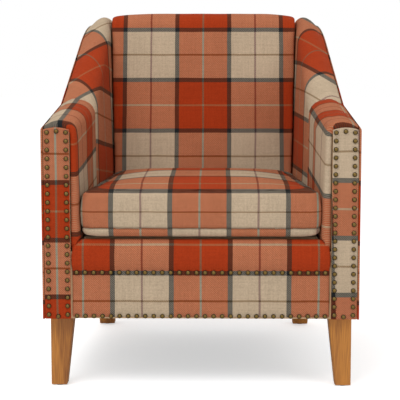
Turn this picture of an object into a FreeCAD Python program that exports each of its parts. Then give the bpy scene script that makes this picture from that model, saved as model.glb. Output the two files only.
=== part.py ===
import FreeCAD, Part
import math
import os
import re

import Sketcher
from FreeCAD import Placement, Rotation, Vector

# Fireside chair: a hardwood frame on four oak legs, padded and covered in check cloth, with a loose
# seat cushion. Millimetres, +Z up. The front faces -Y, and left and right are as seen from the front.
# The origin is on the floor, under the middle of the chair. Most pieces are placed by their setback,
# which is the distance behind the face of the nailed arm facings.

SIZES = [
    ("overall_width", 700, "across the fronts of the arms"),
    ("rear_narrowing", 93, "how much narrower the chair is across its back"),
    ("overall_depth", 740, "from the front nail heads to the back of the top rail"),
    ("overall_height", 840, "floor to the top of the back"),
    ("leg_height", 155, "oak leg, without its glide"),
    ("glide_height", 3, "nylon glide under each leg"),
    ("glide_width", 20, "across a glide"),
    ("arm_front_height", 587, "outer top edge of the arm at its front"),
    ("arm_seam_height", 626, "outer top edge where the arm meets the wing"),
    ("arm_seam_setback", 245, "seam between the arm and the wing"),
    ("wing_shoulder_drop", 34, "turn of the wing's outer top edge, below the top of the back"),
    ("wing_shoulder_lead", 123, "that turn, ahead of the chair's rear"),
    ("wing_top_drop", 28, "outer top edge of the wing's level end, below the top of the back"),
    ("wing_ease", 40, "height over which the wing's slope eases into its level top"),
    ("arm_edge_radius", 12, "rounding of the outer top edge"),
    ("arm_crown", 8, "rise of the arm's top towards its inner edge"),
    ("wing_crown", 20, "rise of the wing's top towards its inner edge"),
    ("top_bulge", 5, "fullness of the padded top"),
    ("arm_roll_front", 22, "width of the rolled inner edge at the arm's front"),
    ("arm_roll_seam", 38, "width of the rolled inner edge at the seam"),
    ("wing_roll_top", 26, "width of the rolled inner edge at the wing's top"),
    ("roll_drop_ratio", 1.15, "drop of the rolled inner edge for its width"),
    ("arm_nose_radius", 10, "rounding of the arm's padding behind the facing"),
    ("arm_width_front", 76, "arm across its front, at the shoulder"),
    ("arm_width_seam", 85.6, "arm across the seam, at the shoulder"),
    ("wing_width", 71.2, "wing across its turn, at the shoulder"),
    ("side_width_front", 83.5, "side of the chair beside the front of the cushion"),
    ("side_width_rear", 93.1, "side of the chair beside the rear of the cushion"),
    ("back_depth", 240, "from the inside back, at the seat's height, to the chair's rear"),
    ("seat_rise", 8, "height of the seat over the cushion's upper seam"),
    ("back_recline", 14.6, "recline of the inside back, in degrees"),
    ("back_roll_radius", 45, "rounding of the top of the inside back"),
    ("back_roll_sag", 5, "fall of the back's top, halfway to its rear edge"),
    ("back_roll_drop", 25, "fall of the back's top at its rear edge"),
    ("back_side_bottom", 76, "from the chair's rear side to the inside back, at the seat's height"),
    ("back_side_top", 63.5, "from the chair's rear side to the inside back, at its top"),
    ("outside_back_lean", 8.5, "lean of the outside back, in degrees"),
    ("outside_thickness", 4, "outside panels: board under cloth"),
    ("outside_corner_rise", 24, "rise of the outside back's top edge over its corners"),
    ("facing_width", 58, "nailed panel on the front of each arm"),
    ("facing_thickness", 6, "thickness of that panel"),
    ("facing_top_drop", 9, "top corners of the facing, below the arm's outer top edge"),
    ("facing_top_rise", 5, "arched top of the facing"),
    ("rail_height", 150, "height of the four seat rails"),
    ("rail_thickness", 22, "thickness of all rails"),
    ("rail_setback", 8, "front rail behind the facings' face"),
    ("post_depth", 30, "arm post front to back"),
    ("top_padding", 22, "padding over the arm rail and post"),
    ("arm_rail_height", 28, "arm rail under the padding"),
    ("arm_rail_width", 40, "arm rail across"),
    ("arm_rail_rear_rise", 92, "rise of the arm rail to the back post"),
    ("wing_rail_height", 30, "wing rail under the sloped top"),
    ("wing_rail_width", 24, "wing rail across"),
    ("wing_rail_setback", 262, "front end of the wing rail"),
    ("wing_top_padding", 30, "padding over the wing rail at the back post"),
    ("back_post_width", 45, "back post across"),
    ("back_post_lead", 150, "front of the back post below its bend, ahead of the chair's rear"),
    ("back_post_bend_height", 400, "height of the bend"),
    ("back_top_padding", 45, "padding over the top of the back post"),
    ("back_padding", 70, "padding in front of the post's top"),
    ("top_rail_height", 50, "top rail between the back posts"),
    ("tack_rail_height", 45, "lower back rail"),
    ("tack_rail_rise", 22, "underside of the lower back rail, over the seat rails"),
    ("block_thickness", 42, "corner blocks inside the seat rails"),
    ("block_reach", 72, "reach of a corner block along a rail"),
    ("border_front_setback", 4, "face of the front border below its roll"),
    ("border_rise", 27, "top of the front border, over the seat rails"),
    ("border_roll_height", 69, "padded roll, from the upper nails to the border's top"),
    ("border_roll_depth", 7, "how far the roll stands out"),
    ("border_corner_radius", 30, "rounded upper corners of the roll"),
    ("spring_count", 5, "zigzag springs across the seat"),
    ("spring_spread", 380, "from the first spring to the last"),
    ("spring_wire", 3.6, "spring wire"),
    ("spring_width", 46, "across a spring"),
    ("spring_pitch", 26, "from one crossbar to the next"),
    ("clip_thickness", 1.2, "spring clip strip"),
    ("clip_width", 24, "spring clip across"),
    ("clip_depth", 16, "spring clip front to back"),
    ("web_count", 4, "elastic webs across the back"),
    ("web_height", 50, "height of a web"),
    ("web_thickness", 2, "thickness of a web"),
    ("web_low_gap", 45, "lowest web over the lower back rail"),
    ("web_high_gap", 17, "highest web below the top rail"),
    ("insulator_thickness", 11.9, "felt pad on the springs"),
    ("deck_thickness", 14.7, "padded deck under the cushion"),
    ("dust_cover_thickness", 1, "cloth under the seat"),
    ("dust_cover_margin", 2, "gap between the dust cover and the legs"),
    ("leg_side_inset", 14, "front leg inside the chair's side"),
    ("leg_top_width", 52, "leg at its top"),
    ("front_foot_width", 35.5, "front leg at its foot"),
    ("front_leg_setback", 25, "face of the front leg"),
    ("rear_foot_width", 40, "rear leg at its foot"),
    ("rear_leg_side_inset", 14.5, "rear leg inside the chair's rear side"),
    ("rear_leg_lead", 152, "face of the rear leg at its top, ahead of the chair's rear"),
    ("rear_leg_rake", 84, "how far the rear foot stands behind the leg's top"),
    ("leg_edge_ease", 2.5, "flat along the eased edges of the legs"),
    ("bolt_width", 8, "hanger bolt"),
    ("bolt_reach", 34, "length of the bolt in each piece"),
    ("nail_head_width", 10.5, "domed nail across its head"),
    ("nail_head_height", 3.5, "height of the dome"),
    ("nail_crown_width", 5, "flat crown of the dome"),
    ("nail_shank_width", 1.8, "shank under the head"),
    ("nail_shank_length", 14, "length of the shank"),
    ("nail_pitch", 19.2, "from one nail to the next on the facings"),
    ("nail_inner_inset", 7, "inner nails from the facing's inner edge"),
    ("nail_outer_inset", 9.5, "outer nails from the facing's outer edge"),
    ("nail_column_rise", 10, "lowest nails of a column, over the facing's foot"),
    ("nail_column_drop", 6, "highest nails of a column, below the facing's top corners"),
    ("nail_row_pitch", 18.9, "from one nail to the next across the border"),
    ("nail_row_margin", 13, "end nails of a row, from the facings"),
    ("nail_upper_row_drop", 4, "row under the padded roll, below its foot"),
    ("nail_lower_row_rise", 6, "row along the bottom edge, over the chair's underside"),
    ("cushion_rise", 32, "bottom of the loose cushion, over the seat rails"),
    ("cushion_boxing", 98, "from the bottom of the cushion to its upper seam"),
    ("cushion_crown", 20, "rise of the top above its seam"),
    ("cushion_bulge", 6, "how far the seams are drawn in from the boxing's middle"),
    ("cushion_turn", 4, "height of the rounded lower edge"),
    ("cushion_turn_inset", 14, "width of the rounded lower edge"),
    ("cushion_corner_radius", 26, "rounded corners in plan"),
    ("cushion_front_setback", 0.5, "front of the boxing behind the facings' face"),
    ("cover_wall", 2.5, "cushion cover cloth and lining"),
    ("zip_end_gap", 31.5, "from the end of the zip to the side of the boxing"),
    ("zip_channel_height", 20, "folded channel that hides the zip"),
    ("zip_channel_depth", 7, "depth of the channel"),
    ("zip_tape_thickness", 1, "zip tape"),
    ("zip_chain_width", 6, "row of closed teeth"),
    ("zip_chain_thickness", 1.6, "teeth above the tape"),
    ("slider_length", 12, "zip slider along the zip"),
    ("slider_wall", 1.2, "thickness of the slider's shell"),
    ("running_clearance", 0.3, "gap between moving or soft pieces and what they pass"),
]

doc = FreeCAD.newDocument("FiresideChair")
sheet = doc.addObject("Spreadsheet::Sheet", "Sizes")
for row, (alias, amount, meaning) in enumerate(SIZES, start=1):
    sheet.set(f"A{row}", alias)
    sheet.set(f"B{row}", str(amount))
    sheet.setAlias(f"B{row}", alias)
    sheet.set(f"C{row}", meaning)
doc.recompute()

NAMES = {alias for alias, _, _ in SIZES}
UNDERSIDE = "(leg_height + glide_height)"
FRONT = "(nail_head_height - overall_depth / 2)"
RAIL_TOP = f"({UNDERSIDE} + rail_height)"
CUSHION_UNDERSIDE = f"({RAIL_TOP} + cushion_rise)"
SEAT_HEIGHT = f"({CUSHION_UNDERSIDE} + cushion_boxing + seat_rise)"
SEAT_DEPTH = "(overall_depth - back_depth)"
POST_FRONT = "(overall_depth - back_post_lead)"
POST_TOP = "(overall_height - back_top_padding)"
TACK_BOTTOM = f"({RAIL_TOP} + tack_rail_rise)"
FACING_TOP = "(arm_front_height - facing_top_drop)"
REAR_LEG_FACE = "(overall_depth - rear_leg_lead)"
REAR_HALF = "((overall_width - rear_narrowing) / 2)"


class SizeReader:
    """Gives each driving dimension as a number, for the lofted forms."""

    def __getattr__(self, alias):
        return float(sheet.get(alias))


s = SizeReader()
nodes = []
underside = s.leg_height + s.glide_height
rail_top = underside + s.rail_height
cushion_bottom = rail_top + s.cushion_rise
cushion_seam = cushion_bottom + s.cushion_boxing
seat_height = cushion_seam + s.seat_rise
seat_depth = s.overall_depth - s.back_depth
post_front = s.overall_depth - s.back_post_lead
post_top = s.overall_height - s.back_top_padding
facing_top = s.arm_front_height - s.facing_top_drop
rear_leg_face = s.overall_depth - s.rear_leg_lead
rear_half = (s.overall_width - s.rear_narrowing) / 2


# Helpers for bound objects


def driven(text):
    """Turn an expression in the driving dimensions' names into one that points at the sheet."""
    return re.sub(r"[a-z_]+", lambda m: f"Sizes.{m.group(0)}" if m.group(0) in NAMES else m.group(0), text)


def bind(obj, prop, text):
    """Bind one property of an object to the driving dimensions."""
    obj.setExpression(prop, driven(text))


def place(obj, across="0", setback="0", height="0"):
    """Bind an object's place: across from the middle, back from the facings and up from the floor."""
    bind(obj, "Placement.Base.x", across)
    bind(obj, "Placement.Base.y", f"{FRONT} + {setback}")
    bind(obj, "Placement.Base.z", height)


def keep(obj, label):
    """Give a finished sub-part its label, which also names its file."""
    obj.Label = label
    nodes.append(obj)
    return obj


def box(label, size, across="0", setback="0", height="0"):
    """A rectangular piece with its width, depth and height, placed by its least corner."""
    piece = doc.addObject("Part::Box", label)
    for prop, text in zip(("Length", "Width", "Height"), size):
        bind(piece, prop, text)
    place(piece, across, setback, height)
    return piece


def wedge(label, length, front, rear, setback):
    """A bar along the chair's depth from one rectangle to another: (least x, most x, least z, most z)."""
    piece = doc.addObject("Part::Wedge", label)
    bind(piece, "Ymin", "0")
    bind(piece, "Ymax", length)
    for prop, text in zip(("Xmin", "Xmax", "Zmin", "Zmax"), front):
        bind(piece, prop, text)
    for prop, text in zip(("X2min", "X2max", "Z2min", "Z2max"), rear):
        bind(piece, prop, text)
    place(piece, setback=setback)
    return piece


def mirrored(right, label):
    """The left-hand twin of a right-hand piece."""
    left = doc.addObject("Part::Mirroring", label)
    left.Source = right
    left.Base = Vector(0, 0, 0)
    left.Normal = Vector(1, 0, 0)
    return keep(left, label)


def new_body(label):
    return doc.addObject("PartDesign::Body", label)


def origin_plane(body, role):
    return next(feature for feature in body.Origin.OriginFeatures if feature.Role == role)


def polygon_sketch(body, role, corners, offset=None):
    """A closed outline of straight edges on an origin plane, with every corner held by the sheet."""
    sketch = body.newObject("Sketcher::SketchObject", "Outline")
    sketch.AttachmentSupport = [(origin_plane(body, role), "")]
    sketch.MapMode = "FlatFace"
    if offset:
        bind(sketch, "AttachmentOffset.Base.z", offset)
    count = len(corners)
    turn = 2 * math.pi / count
    start = [Vector(100 * math.cos(turn * i), 100 * math.sin(turn * i), 0) for i in range(count)]
    for i in range(count):
        sketch.addGeometry(Part.LineSegment(start[i], start[(i + 1) % count]))
    for i in range(count):
        sketch.addConstraint(Sketcher.Constraint("Coincident", i, 2, (i + 1) % count, 1))
    for i, (across, up) in enumerate(corners):
        for kind, text, value in (("DistanceX", across, start[i].x), ("DistanceY", up, start[i].y)):
            index = sketch.addConstraint(Sketcher.Constraint(kind, -1, 1, i, 1, value))
            bind(sketch, f"Constraints[{index}]", text)
    return sketch


def pad(body, sketch, length, reverse=False, both_ways=False):
    """Thicken a sketch into a solid."""
    feature = body.newObject("PartDesign::Pad", "Pad")
    feature.Profile = sketch
    feature.Reversed = reverse
    feature.Midplane = both_ways
    bind(feature, "Length", length)
    body.Tip = feature
    return feature


def both_halves(body, feature):
    """Mirror a half about the chair's middle plane."""
    mirror = body.newObject("PartDesign::Mirrored", "OtherHalf")
    mirror.Originals = [feature]
    mirror.MirrorPlane = (origin_plane(body, "YZ_Plane"), [""])
    body.Tip = mirror
    return mirror


def side_profile(label, corners, width, across="0"):
    """A piece with a side outline, given as (setback, height), that runs across the chair."""
    body = new_body(label)
    sketch = polygon_sketch(body, "YZ_Plane", corners)
    pad(body, sketch, width)
    place(body, across)
    return body


def combined(kind, label, base, *tools):
    """Cut, fuse or intersect finished shapes one after the other."""
    result = base
    for number, tool in enumerate(tools, start=1):
        step = doc.addObject(f"Part::{kind}", f"{label}_step{number}")
        step.Base = result
        step.Tool = tool
        result = step
    return result


def feature(label, shape):
    """A piece whose form is worked out below from the driving dimensions."""
    piece = doc.addObject("Part::Feature", label)
    piece.Shape = shape
    front = Placement(Vector(0, s.nail_head_height - s.overall_depth / 2, 0), Rotation())
    piece.Placement = front.multiply(shape.Placement)
    return piece


# Lines that several pieces share, as expressions


def outer_half(setback):
    """Half the chair's width at a setback."""
    return f"(overall_width / 2 - rear_narrowing / 2 * ({setback}) / overall_depth)"


def outside_back(height):
    """Setback of the outside back's rear face at a height."""
    return (
        f"(overall_depth - nail_head_height"
        f" - (overall_height - back_roll_drop - ({height})) * tan(outside_back_lean * 1 deg))"
    )


POST_REAR_SKIN = "outside_thickness / cos(outside_back_lean * 1 deg)"
INSIDE_TOP = f"({SEAT_DEPTH} + ({POST_TOP} - {SEAT_HEIGHT}) * tan(back_recline * 1 deg))"
POST_TOP_FRONT = f"({INSIDE_TOP} + back_padding)"
POST_OUTER = f"({REAR_HALF} - outside_thickness)"
POST_INNER = f"({POST_OUTER} - back_post_width)"
ARM_POST_TOP = "(arm_front_height + arm_crown - top_padding)"
ARM_POST_REAR = "(facing_thickness + post_depth)"


def skin_inside(setback):
    """Inner face of the outside panel at a setback."""
    return f"({outer_half(setback)} - outside_thickness)"


FACING_INNER = f"({skin_inside('facing_thickness')} - facing_width)"
ARM_POST_WIDTH = f"({skin_inside(ARM_POST_REAR)} - {FACING_INNER})"


# Hardwood frame

front_rail = keep(
    box(
        "front_rail",
        (f"2 * {FACING_INNER}", "rail_thickness", "rail_height"),
        f"-{FACING_INNER}",
        "rail_setback",
        UNDERSIDE,
    ),
    "front_rail",
)
back_rail = keep(
    box(
        "back_rail",
        (f"2 * {POST_INNER}", "rail_thickness", "rail_height"),
        f"-{POST_INNER}",
        f"{POST_FRONT} + rail_thickness / 2",
        UNDERSIDE,
    ),
    "back_rail",
)
arm_post = keep(
    box(
        "arm_post_right",
        (ARM_POST_WIDTH, "post_depth", f"{ARM_POST_TOP} - {UNDERSIDE}"),
        FACING_INNER,
        "facing_thickness",
        UNDERSIDE,
    ),
    "arm_post_right",
)
mirrored(arm_post, "arm_post_left")

side_rail = keep(
    wedge(
        "side_rail_right",
        f"{POST_FRONT} - {ARM_POST_REAR}",
        (f"{skin_inside(ARM_POST_REAR)} - rail_thickness", skin_inside(ARM_POST_REAR), UNDERSIDE, RAIL_TOP),
        (
            f"{skin_inside(POST_FRONT)} - rail_thickness",
            skin_inside(POST_FRONT),
            UNDERSIDE,
            RAIL_TOP,
        ),
        ARM_POST_REAR,
    ),
    "side_rail_right",
)
mirrored(side_rail, "side_rail_left")

# The posts are sawn from wide boards: upright to the seat, then raked with the back
back_post = side_profile(
    "back_post_blank",
    [
        (POST_FRONT, UNDERSIDE),
        (f"{outside_back(UNDERSIDE)} - {POST_REAR_SKIN}", UNDERSIDE),
        (f"{outside_back(POST_TOP)} - {POST_REAR_SKIN}", POST_TOP),
        (POST_TOP_FRONT, POST_TOP),
        (POST_FRONT, "back_post_bend_height"),
    ],
    "back_post_width",
    POST_INNER,
)

arm_rail_bar = wedge(
    "arm_rail_bar",
    f"{POST_TOP_FRONT} - {ARM_POST_REAR}",
    (
        f"{skin_inside(ARM_POST_REAR)} - arm_rail_width",
        skin_inside(ARM_POST_REAR),
        f"{ARM_POST_TOP} - arm_rail_height",
        ARM_POST_TOP,
    ),
    (
        f"{POST_OUTER} - arm_rail_width",
        POST_OUTER,
        f"{ARM_POST_TOP} - arm_rail_height + arm_rail_rear_rise",
        f"{ARM_POST_TOP} + arm_rail_rear_rise",
    ),
    ARM_POST_REAR,
)
arm_rail = keep(combined("Cut", "arm_rail_right", arm_rail_bar, back_post), "arm_rail_right")
mirrored(arm_rail, "arm_rail_left")

WING_RAIL_LENGTH = f"({POST_TOP_FRONT} - wing_rail_setback)"
WING_RAIL_FOOT = f"({ARM_POST_TOP} + wing_rail_height / 4)"
WING_RAIL_END = "(overall_height - wing_top_drop - wing_top_padding - wing_rail_height)"
wing_rail_bar = wedge(
    "wing_rail_bar",
    WING_RAIL_LENGTH,
    (
        f"{skin_inside('wing_rail_setback')} - arm_edge_radius - wing_rail_width",
        f"{skin_inside('wing_rail_setback')} - arm_edge_radius",
        WING_RAIL_FOOT,
        f"{WING_RAIL_FOOT} + wing_rail_height",
    ),
    (
        f"{POST_OUTER} - wing_rail_width",
        POST_OUTER,
        WING_RAIL_END,
        f"{WING_RAIL_END} + wing_rail_height",
    ),
    "wing_rail_setback",
)
wing_rail = keep(combined("Cut", "wing_rail_right", wing_rail_bar, arm_rail, back_post), "wing_rail_right")
mirrored(wing_rail, "wing_rail_left")

top_rail = keep(
    box(
        "top_rail",
        (f"2 * {POST_INNER}", "rail_thickness", "top_rail_height"),
        f"-{POST_INNER}",
        f"{POST_TOP_FRONT} + web_thickness * 2",
        f"{POST_TOP} - top_rail_height",
    ),
    "top_rail",
)
tack_rail = keep(
    box(
        "back_tack_rail",
        (f"2 * {POST_INNER}", "rail_thickness", "tack_rail_height"),
        f"-{POST_INNER}",
        f"{POST_FRONT} + web_thickness * 2",
        TACK_BOTTOM,
    ),
    "back_tack_rail",
)

# Legs, glides, bolts and corner blocks

LEG_OUTER = "(overall_width / 2 - leg_side_inset)"
REAR_LEG_MIDDLE = f"({REAR_HALF} - rear_leg_side_inset - leg_top_width / 2)"
FRONT_BOLT_ACROSS = f"({LEG_OUTER} - leg_top_width / 2)"
FRONT_BOLT_SETBACK = "(front_leg_setback + leg_top_width / 2 + rail_thickness / 2)"
REAR_BOLT_ACROSS = f"({POST_INNER} + leg_top_width / 4)"
REAR_BOLT_SETBACK = f"({REAR_LEG_FACE} + leg_top_width / 2)"


def eased_square(x_min, x_max, y_min, y_max):
    """Outline of a square leg whose corners are eased by a small flat."""
    ease = "leg_edge_ease"
    return [
        (f"{x_min} + {ease}", y_min),
        (f"{x_max} - {ease}", y_min),
        (x_max, f"{y_min} + {ease}"),
        (x_max, f"{y_max} - {ease}"),
        (f"{x_max} - {ease}", y_max),
        (f"{x_min} + {ease}", y_max),
        (x_min, f"{y_max} - {ease}"),
        (x_min, f"{y_min} + {ease}"),
    ]


def leg(label, foot, top, bolt_across, bolt_setback):
    """A square leg that tapers to its foot, with a bore for its hanger bolt."""
    body = new_body(label)
    foot_sketch = polygon_sketch(body, "XY_Plane", foot)
    top_sketch = polygon_sketch(body, "XY_Plane", top, "leg_height")
    loft = body.newObject("PartDesign::AdditiveLoft", "Taper")
    loft.Profile = foot_sketch
    loft.Sections = [top_sketch]
    loft.Ruled = True
    body.Tip = loft
    place(body, height="glide_height")
    bore_sketch = body.newObject("Sketcher::SketchObject", "BoreOutline")
    bore_sketch.AttachmentSupport = [(origin_plane(body, "XY_Plane"), "")]
    bore_sketch.MapMode = "FlatFace"
    bind(bore_sketch, "AttachmentOffset.Base.z", "leg_height")
    bore_sketch.addGeometry(Part.Circle(Vector(100, 100, 0), Vector(0, 0, 1), 5))
    for kind, text, value in (("DistanceX", bolt_across, 100), ("DistanceY", bolt_setback, 100)):
        index = bore_sketch.addConstraint(Sketcher.Constraint(kind, -1, 1, 0, 3, value))
        bind(bore_sketch, f"Constraints[{index}]", text)
    index = bore_sketch.addConstraint(Sketcher.Constraint("Diameter", 0, 10))
    bind(bore_sketch, f"Constraints[{index}]", "bolt_width")
    bore = body.newObject("PartDesign::Pocket", "BoltBore")
    bore.Profile = bore_sketch
    bind(bore, "Length", "bolt_reach")
    body.Tip = bore
    return keep(body, label)


front_leg = leg(
    "front_leg_right",
    eased_square(
        f"{LEG_OUTER} - front_foot_width",
        LEG_OUTER,
        "front_leg_setback",
        "front_leg_setback + front_foot_width",
    ),
    eased_square(
        f"{LEG_OUTER} - leg_top_width",
        LEG_OUTER,
        "front_leg_setback",
        "front_leg_setback + leg_top_width",
    ),
    FRONT_BOLT_ACROSS,
    FRONT_BOLT_SETBACK,
)
mirrored(front_leg, "front_leg_left")

rear_leg = leg(
    "rear_leg_right",
    eased_square(
        f"{REAR_LEG_MIDDLE} - rear_foot_width / 2",
        f"{REAR_LEG_MIDDLE} + rear_foot_width / 2",
        f"{REAR_LEG_FACE} + rear_leg_rake",
        f"{REAR_LEG_FACE} + rear_leg_rake + rear_foot_width",
    ),
    eased_square(
        f"{REAR_LEG_MIDDLE} - leg_top_width / 2",
        f"{REAR_LEG_MIDDLE} + leg_top_width / 2",
        REAR_LEG_FACE,
        f"{REAR_LEG_FACE} + leg_top_width",
    ),
    REAR_BOLT_ACROSS,
    REAR_BOLT_SETBACK,
)
mirrored(rear_leg, "rear_leg_left")
doc.recompute()


def right_and_left(shape):
    """A shape and its twin on the other side of the chair."""
    return [shape, shape.mirror(Vector(0, 0, 0), Vector(1, 0, 0))]


leg_outer = s.overall_width / 2 - s.leg_side_inset
front_foot = Vector(leg_outer - s.front_foot_width / 2, s.front_leg_setback + s.front_foot_width / 2, 0)
rear_leg_middle = rear_half - s.rear_leg_side_inset - s.leg_top_width / 2
rear_foot = Vector(rear_leg_middle, rear_leg_face + s.rear_leg_rake + s.rear_foot_width / 2, 0)
glides = []
for foot in (front_foot, rear_foot):
    glides += right_and_left(Part.makeCylinder(s.glide_width / 2, s.glide_height, foot))
keep(feature("leg_glides", Part.makeCompound(glides)), "leg_glides")

post_outer = rear_half - s.outside_thickness
post_inner = post_outer - s.back_post_width
front_bolt = Vector(
    leg_outer - s.leg_top_width / 2, s.front_leg_setback + s.leg_top_width / 2 + s.rail_thickness / 2, 0
)
rear_bolt = Vector(post_inner + s.leg_top_width / 4, rear_leg_face + s.leg_top_width / 2, 0)
bolts = []
for foot in (front_bolt, rear_bolt):
    seat = foot + Vector(0, 0, underside - s.bolt_reach)
    bolts += right_and_left(Part.makeCylinder(s.bolt_width / 2, 2 * s.bolt_reach, seat))
bolt_group = Part.makeCompound(bolts)
keep(feature("leg_bolts", bolt_group), "leg_bolts")


def outer_half_at(setback):
    """Half the chair's width at a setback."""
    return s.overall_width / 2 - s.rear_narrowing / 2 * setback / s.overall_depth


def prism(corners, height, z):
    """An upright block over a plan outline of (across, setback) corners."""
    points = [Vector(x, y, z) for x, y in corners]
    face = Part.Face(Part.makePolygon(points + points[:1]))
    return face.extrude(Vector(0, 0, height))


arm_post_rear = s.facing_thickness + s.post_depth
facing_inner = outer_half_at(s.facing_thickness) - s.outside_thickness - s.facing_width
front_rail_rear = s.rail_setback + s.rail_thickness


def side_rail_inner(setback):
    return outer_half_at(setback) - s.outside_thickness - s.rail_thickness


block_end = arm_post_rear + s.block_reach
front_block = prism(
    [
        (side_rail_inner(arm_post_rear), arm_post_rear),
        (facing_inner, arm_post_rear),
        (facing_inner, front_rail_rear),
        (facing_inner - s.block_reach / 2, front_rail_rear),
        (side_rail_inner(block_end), block_end),
    ],
    s.block_thickness,
    underside,
)
rear_rail_front = post_front + s.rail_thickness / 2
rear_block_start = post_front - s.block_reach
rear_block = prism(
    [
        (side_rail_inner(post_front), post_front),
        (side_rail_inner(rear_block_start), rear_block_start),
        (post_inner - s.block_reach / 2, rear_rail_front),
        (post_inner, rear_rail_front),
        (post_inner, post_front),
    ],
    s.block_thickness,
    underside,
)
blocks = []
for block in (front_block, rear_block):
    for twin in right_and_left(block):
        blocks.append(twin.cut(bolt_group))
keep(feature("corner_blocks", Part.makeCompound(blocks)), "corner_blocks")

# The rear bolts go up into the back posts
rear_bolts = feature("rear_bolts", Part.makeCompound(bolts[2:]))
bored_post = keep(combined("Cut", "back_post_right", back_post, rear_bolts), "back_post_right")
mirrored(bored_post, "back_post_left")

# Padded sides: each is a loft through outlines that stand across the arm and the wing


def between(start, end, share):
    return start + (end - start) * share


wing_turn = s.overall_depth - s.wing_shoulder_lead
wing_turn_height = s.overall_height - s.wing_shoulder_drop
wing_top = s.overall_height - s.wing_top_drop


def eased_minimum(first, second, ease):
    """The smaller of two heights, with the change between them rounded off."""
    share = max(ease - abs(first - second), 0) / ease
    return min(first, second) - share * share * ease / 4


def outer_edge_height(setback):
    """Height of the scooped outer top edge, from the arm's front up to the wing's top."""
    if setback <= s.arm_seam_setback:
        return between(s.arm_front_height, s.arm_seam_height, setback / s.arm_seam_setback)
    run = (setback - s.arm_seam_setback) / (wing_turn - s.arm_seam_setback)
    slope = between(s.arm_seam_height, wing_turn_height, run)
    return eased_minimum(slope, wing_top, s.wing_ease)


def along_side(setback, front, seam, top):
    """A size that changes evenly from the arm's front to the seam, and from there to the wing's top."""
    if setback <= s.arm_seam_setback:
        return between(front, seam, setback / s.arm_seam_setback)
    run = (setback - s.arm_seam_setback) / (wing_turn - s.arm_seam_setback)
    return between(seam, top, min(run, 1))


def seat_half_at(setback):
    """Half the space between the arms at the cushion."""
    front = outer_half_at(0) - s.side_width_front
    rear = outer_half_at(seat_depth) - s.side_width_rear
    return between(front, rear, setback / seat_depth)


def side_outline(setback, base, inset=0, at=None):
    """Outline of the right-hand side at one setback, drawn in at its top and inner face by an inset."""
    y = setback if at is None else at
    outer = outer_half_at(setback)
    edge = outer_edge_height(setback) - inset
    rise = along_side(setback, s.arm_crown, s.arm_crown, s.wing_crown)
    roll = along_side(setback, s.arm_roll_front, s.arm_roll_seam, s.wing_roll_top)
    drop = roll * s.roll_drop_ratio
    shoulder = inset + along_side(
        setback,
        outer_half_at(0) - s.arm_width_front,
        outer_half_at(s.arm_seam_setback) - s.arm_width_seam,
        outer_half_at(wing_turn) - s.wing_width,
    )
    foot = inset + seat_half_at(setback)
    radius = s.arm_edge_radius
    corner = 1 - math.sqrt(0.5)

    def point(x, z):
        return Vector(x, y, z)

    outer_foot = point(outer, base)
    outer_top = point(outer, edge - radius)
    top_start = point(outer - radius, edge)
    top_end = point(shoulder + roll, edge + rise)
    roll_end = point(shoulder, edge + rise - drop)
    inner_foot = point(foot, base)
    edge_middle = point(outer - radius * corner, edge - radius * corner)
    top_middle = (top_start + top_end) * 0.5 + Vector(0, 0, s.top_bulge)
    roll_middle = point(shoulder + roll * corner, edge + rise - drop * corner)
    return Part.Wire(
        [
            Part.makeLine(outer_foot, outer_top),
            Part.Arc(outer_top, edge_middle, top_start).toShape(),
            Part.Arc(top_start, top_middle, top_end).toShape(),
            Part.Arc(top_end, roll_middle, roll_end).toShape(),
            Part.makeLine(roll_end, inner_foot),
            Part.makeLine(inner_foot, outer_foot),
        ]
    )


def even_steps(start, end, count):
    return [between(start, end, i / (count - 1)) for i in range(count)]


def side_loft(setbacks, base):
    return Part.makeLoft([side_outline(setback, base) for setback in setbacks], True)


nose_rear = s.facing_thickness + s.arm_nose_radius
rear_end = s.overall_depth + s.outside_thickness
arm_run = even_steps(nose_rear, s.arm_seam_setback, 4)
wing_run = even_steps(s.arm_seam_setback, rear_end, 9)


def arm_nose(base):
    """Quarter-round front of the arm's padding, where the cloth turns under the facing."""
    radius = s.arm_nose_radius
    sections = []
    for angle in (0, 30, 60, 90):
        depth = radius * (1 - math.cos(math.radians(angle)))
        inset = radius * (1 - math.sin(math.radians(angle)))
        sections.append(side_outline(nose_rear, base, inset, s.facing_thickness + depth))
    return Part.makeLoft(sections, True)


def outside_back_at(height):
    """Setback of the outside back's rear face at a height."""
    lean = math.tan(math.radians(s.outside_back_lean))
    top = s.overall_height - s.back_roll_drop
    return s.overall_depth - s.nail_head_height - (top - height) * lean


def side_block(corners, x_min, x_max):
    """A block across the chair with a side outline of (setback, height) corners."""
    points = [Vector(x_min, y, z) for y, z in corners]
    face = Part.Face(Part.makePolygon(points + points[:1]))
    return face.extrude(Vector(x_max - x_min, 0, 0))


skin = s.outside_thickness / math.cos(math.radians(s.outside_back_lean))
above = 2 * s.overall_height
beyond = 2 * s.overall_depth
behind_back = side_block(
    [
        (outside_back_at(0) - skin, 0),
        (outside_back_at(above) - skin, above),
        (beyond, above),
        (beyond, 0),
    ],
    0,
    s.overall_width,
)
skin_start = s.running_clearance
outer_slab = prism(
    [
        (outer_half_at(-rear_end) - s.outside_thickness, -rear_end),
        (s.overall_width, -rear_end),
        (s.overall_width, rear_end),
        (outer_half_at(rear_end) - s.outside_thickness, rear_end),
    ],
    above,
    0,
)

arm_to_floor = side_loft(even_steps(skin_start, s.arm_seam_setback, 4), underside)
wing_to_floor = side_loft(wing_run, underside)
outside_skin = arm_to_floor.fuse(wing_to_floor).common(outer_slab).cut(behind_back)
outside_right = keep(feature("outside_panel_right", outside_skin.removeSplitter()), "outside_panel_right")
mirrored(outside_right, "outside_panel_left")

# Inside back, in front of the posts and over the top rail

recline = math.tan(math.radians(s.back_recline))


def inside_back_at(height):
    """Setback of the inside back's face at a height."""
    return seat_depth + (height - seat_height) * recline


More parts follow.
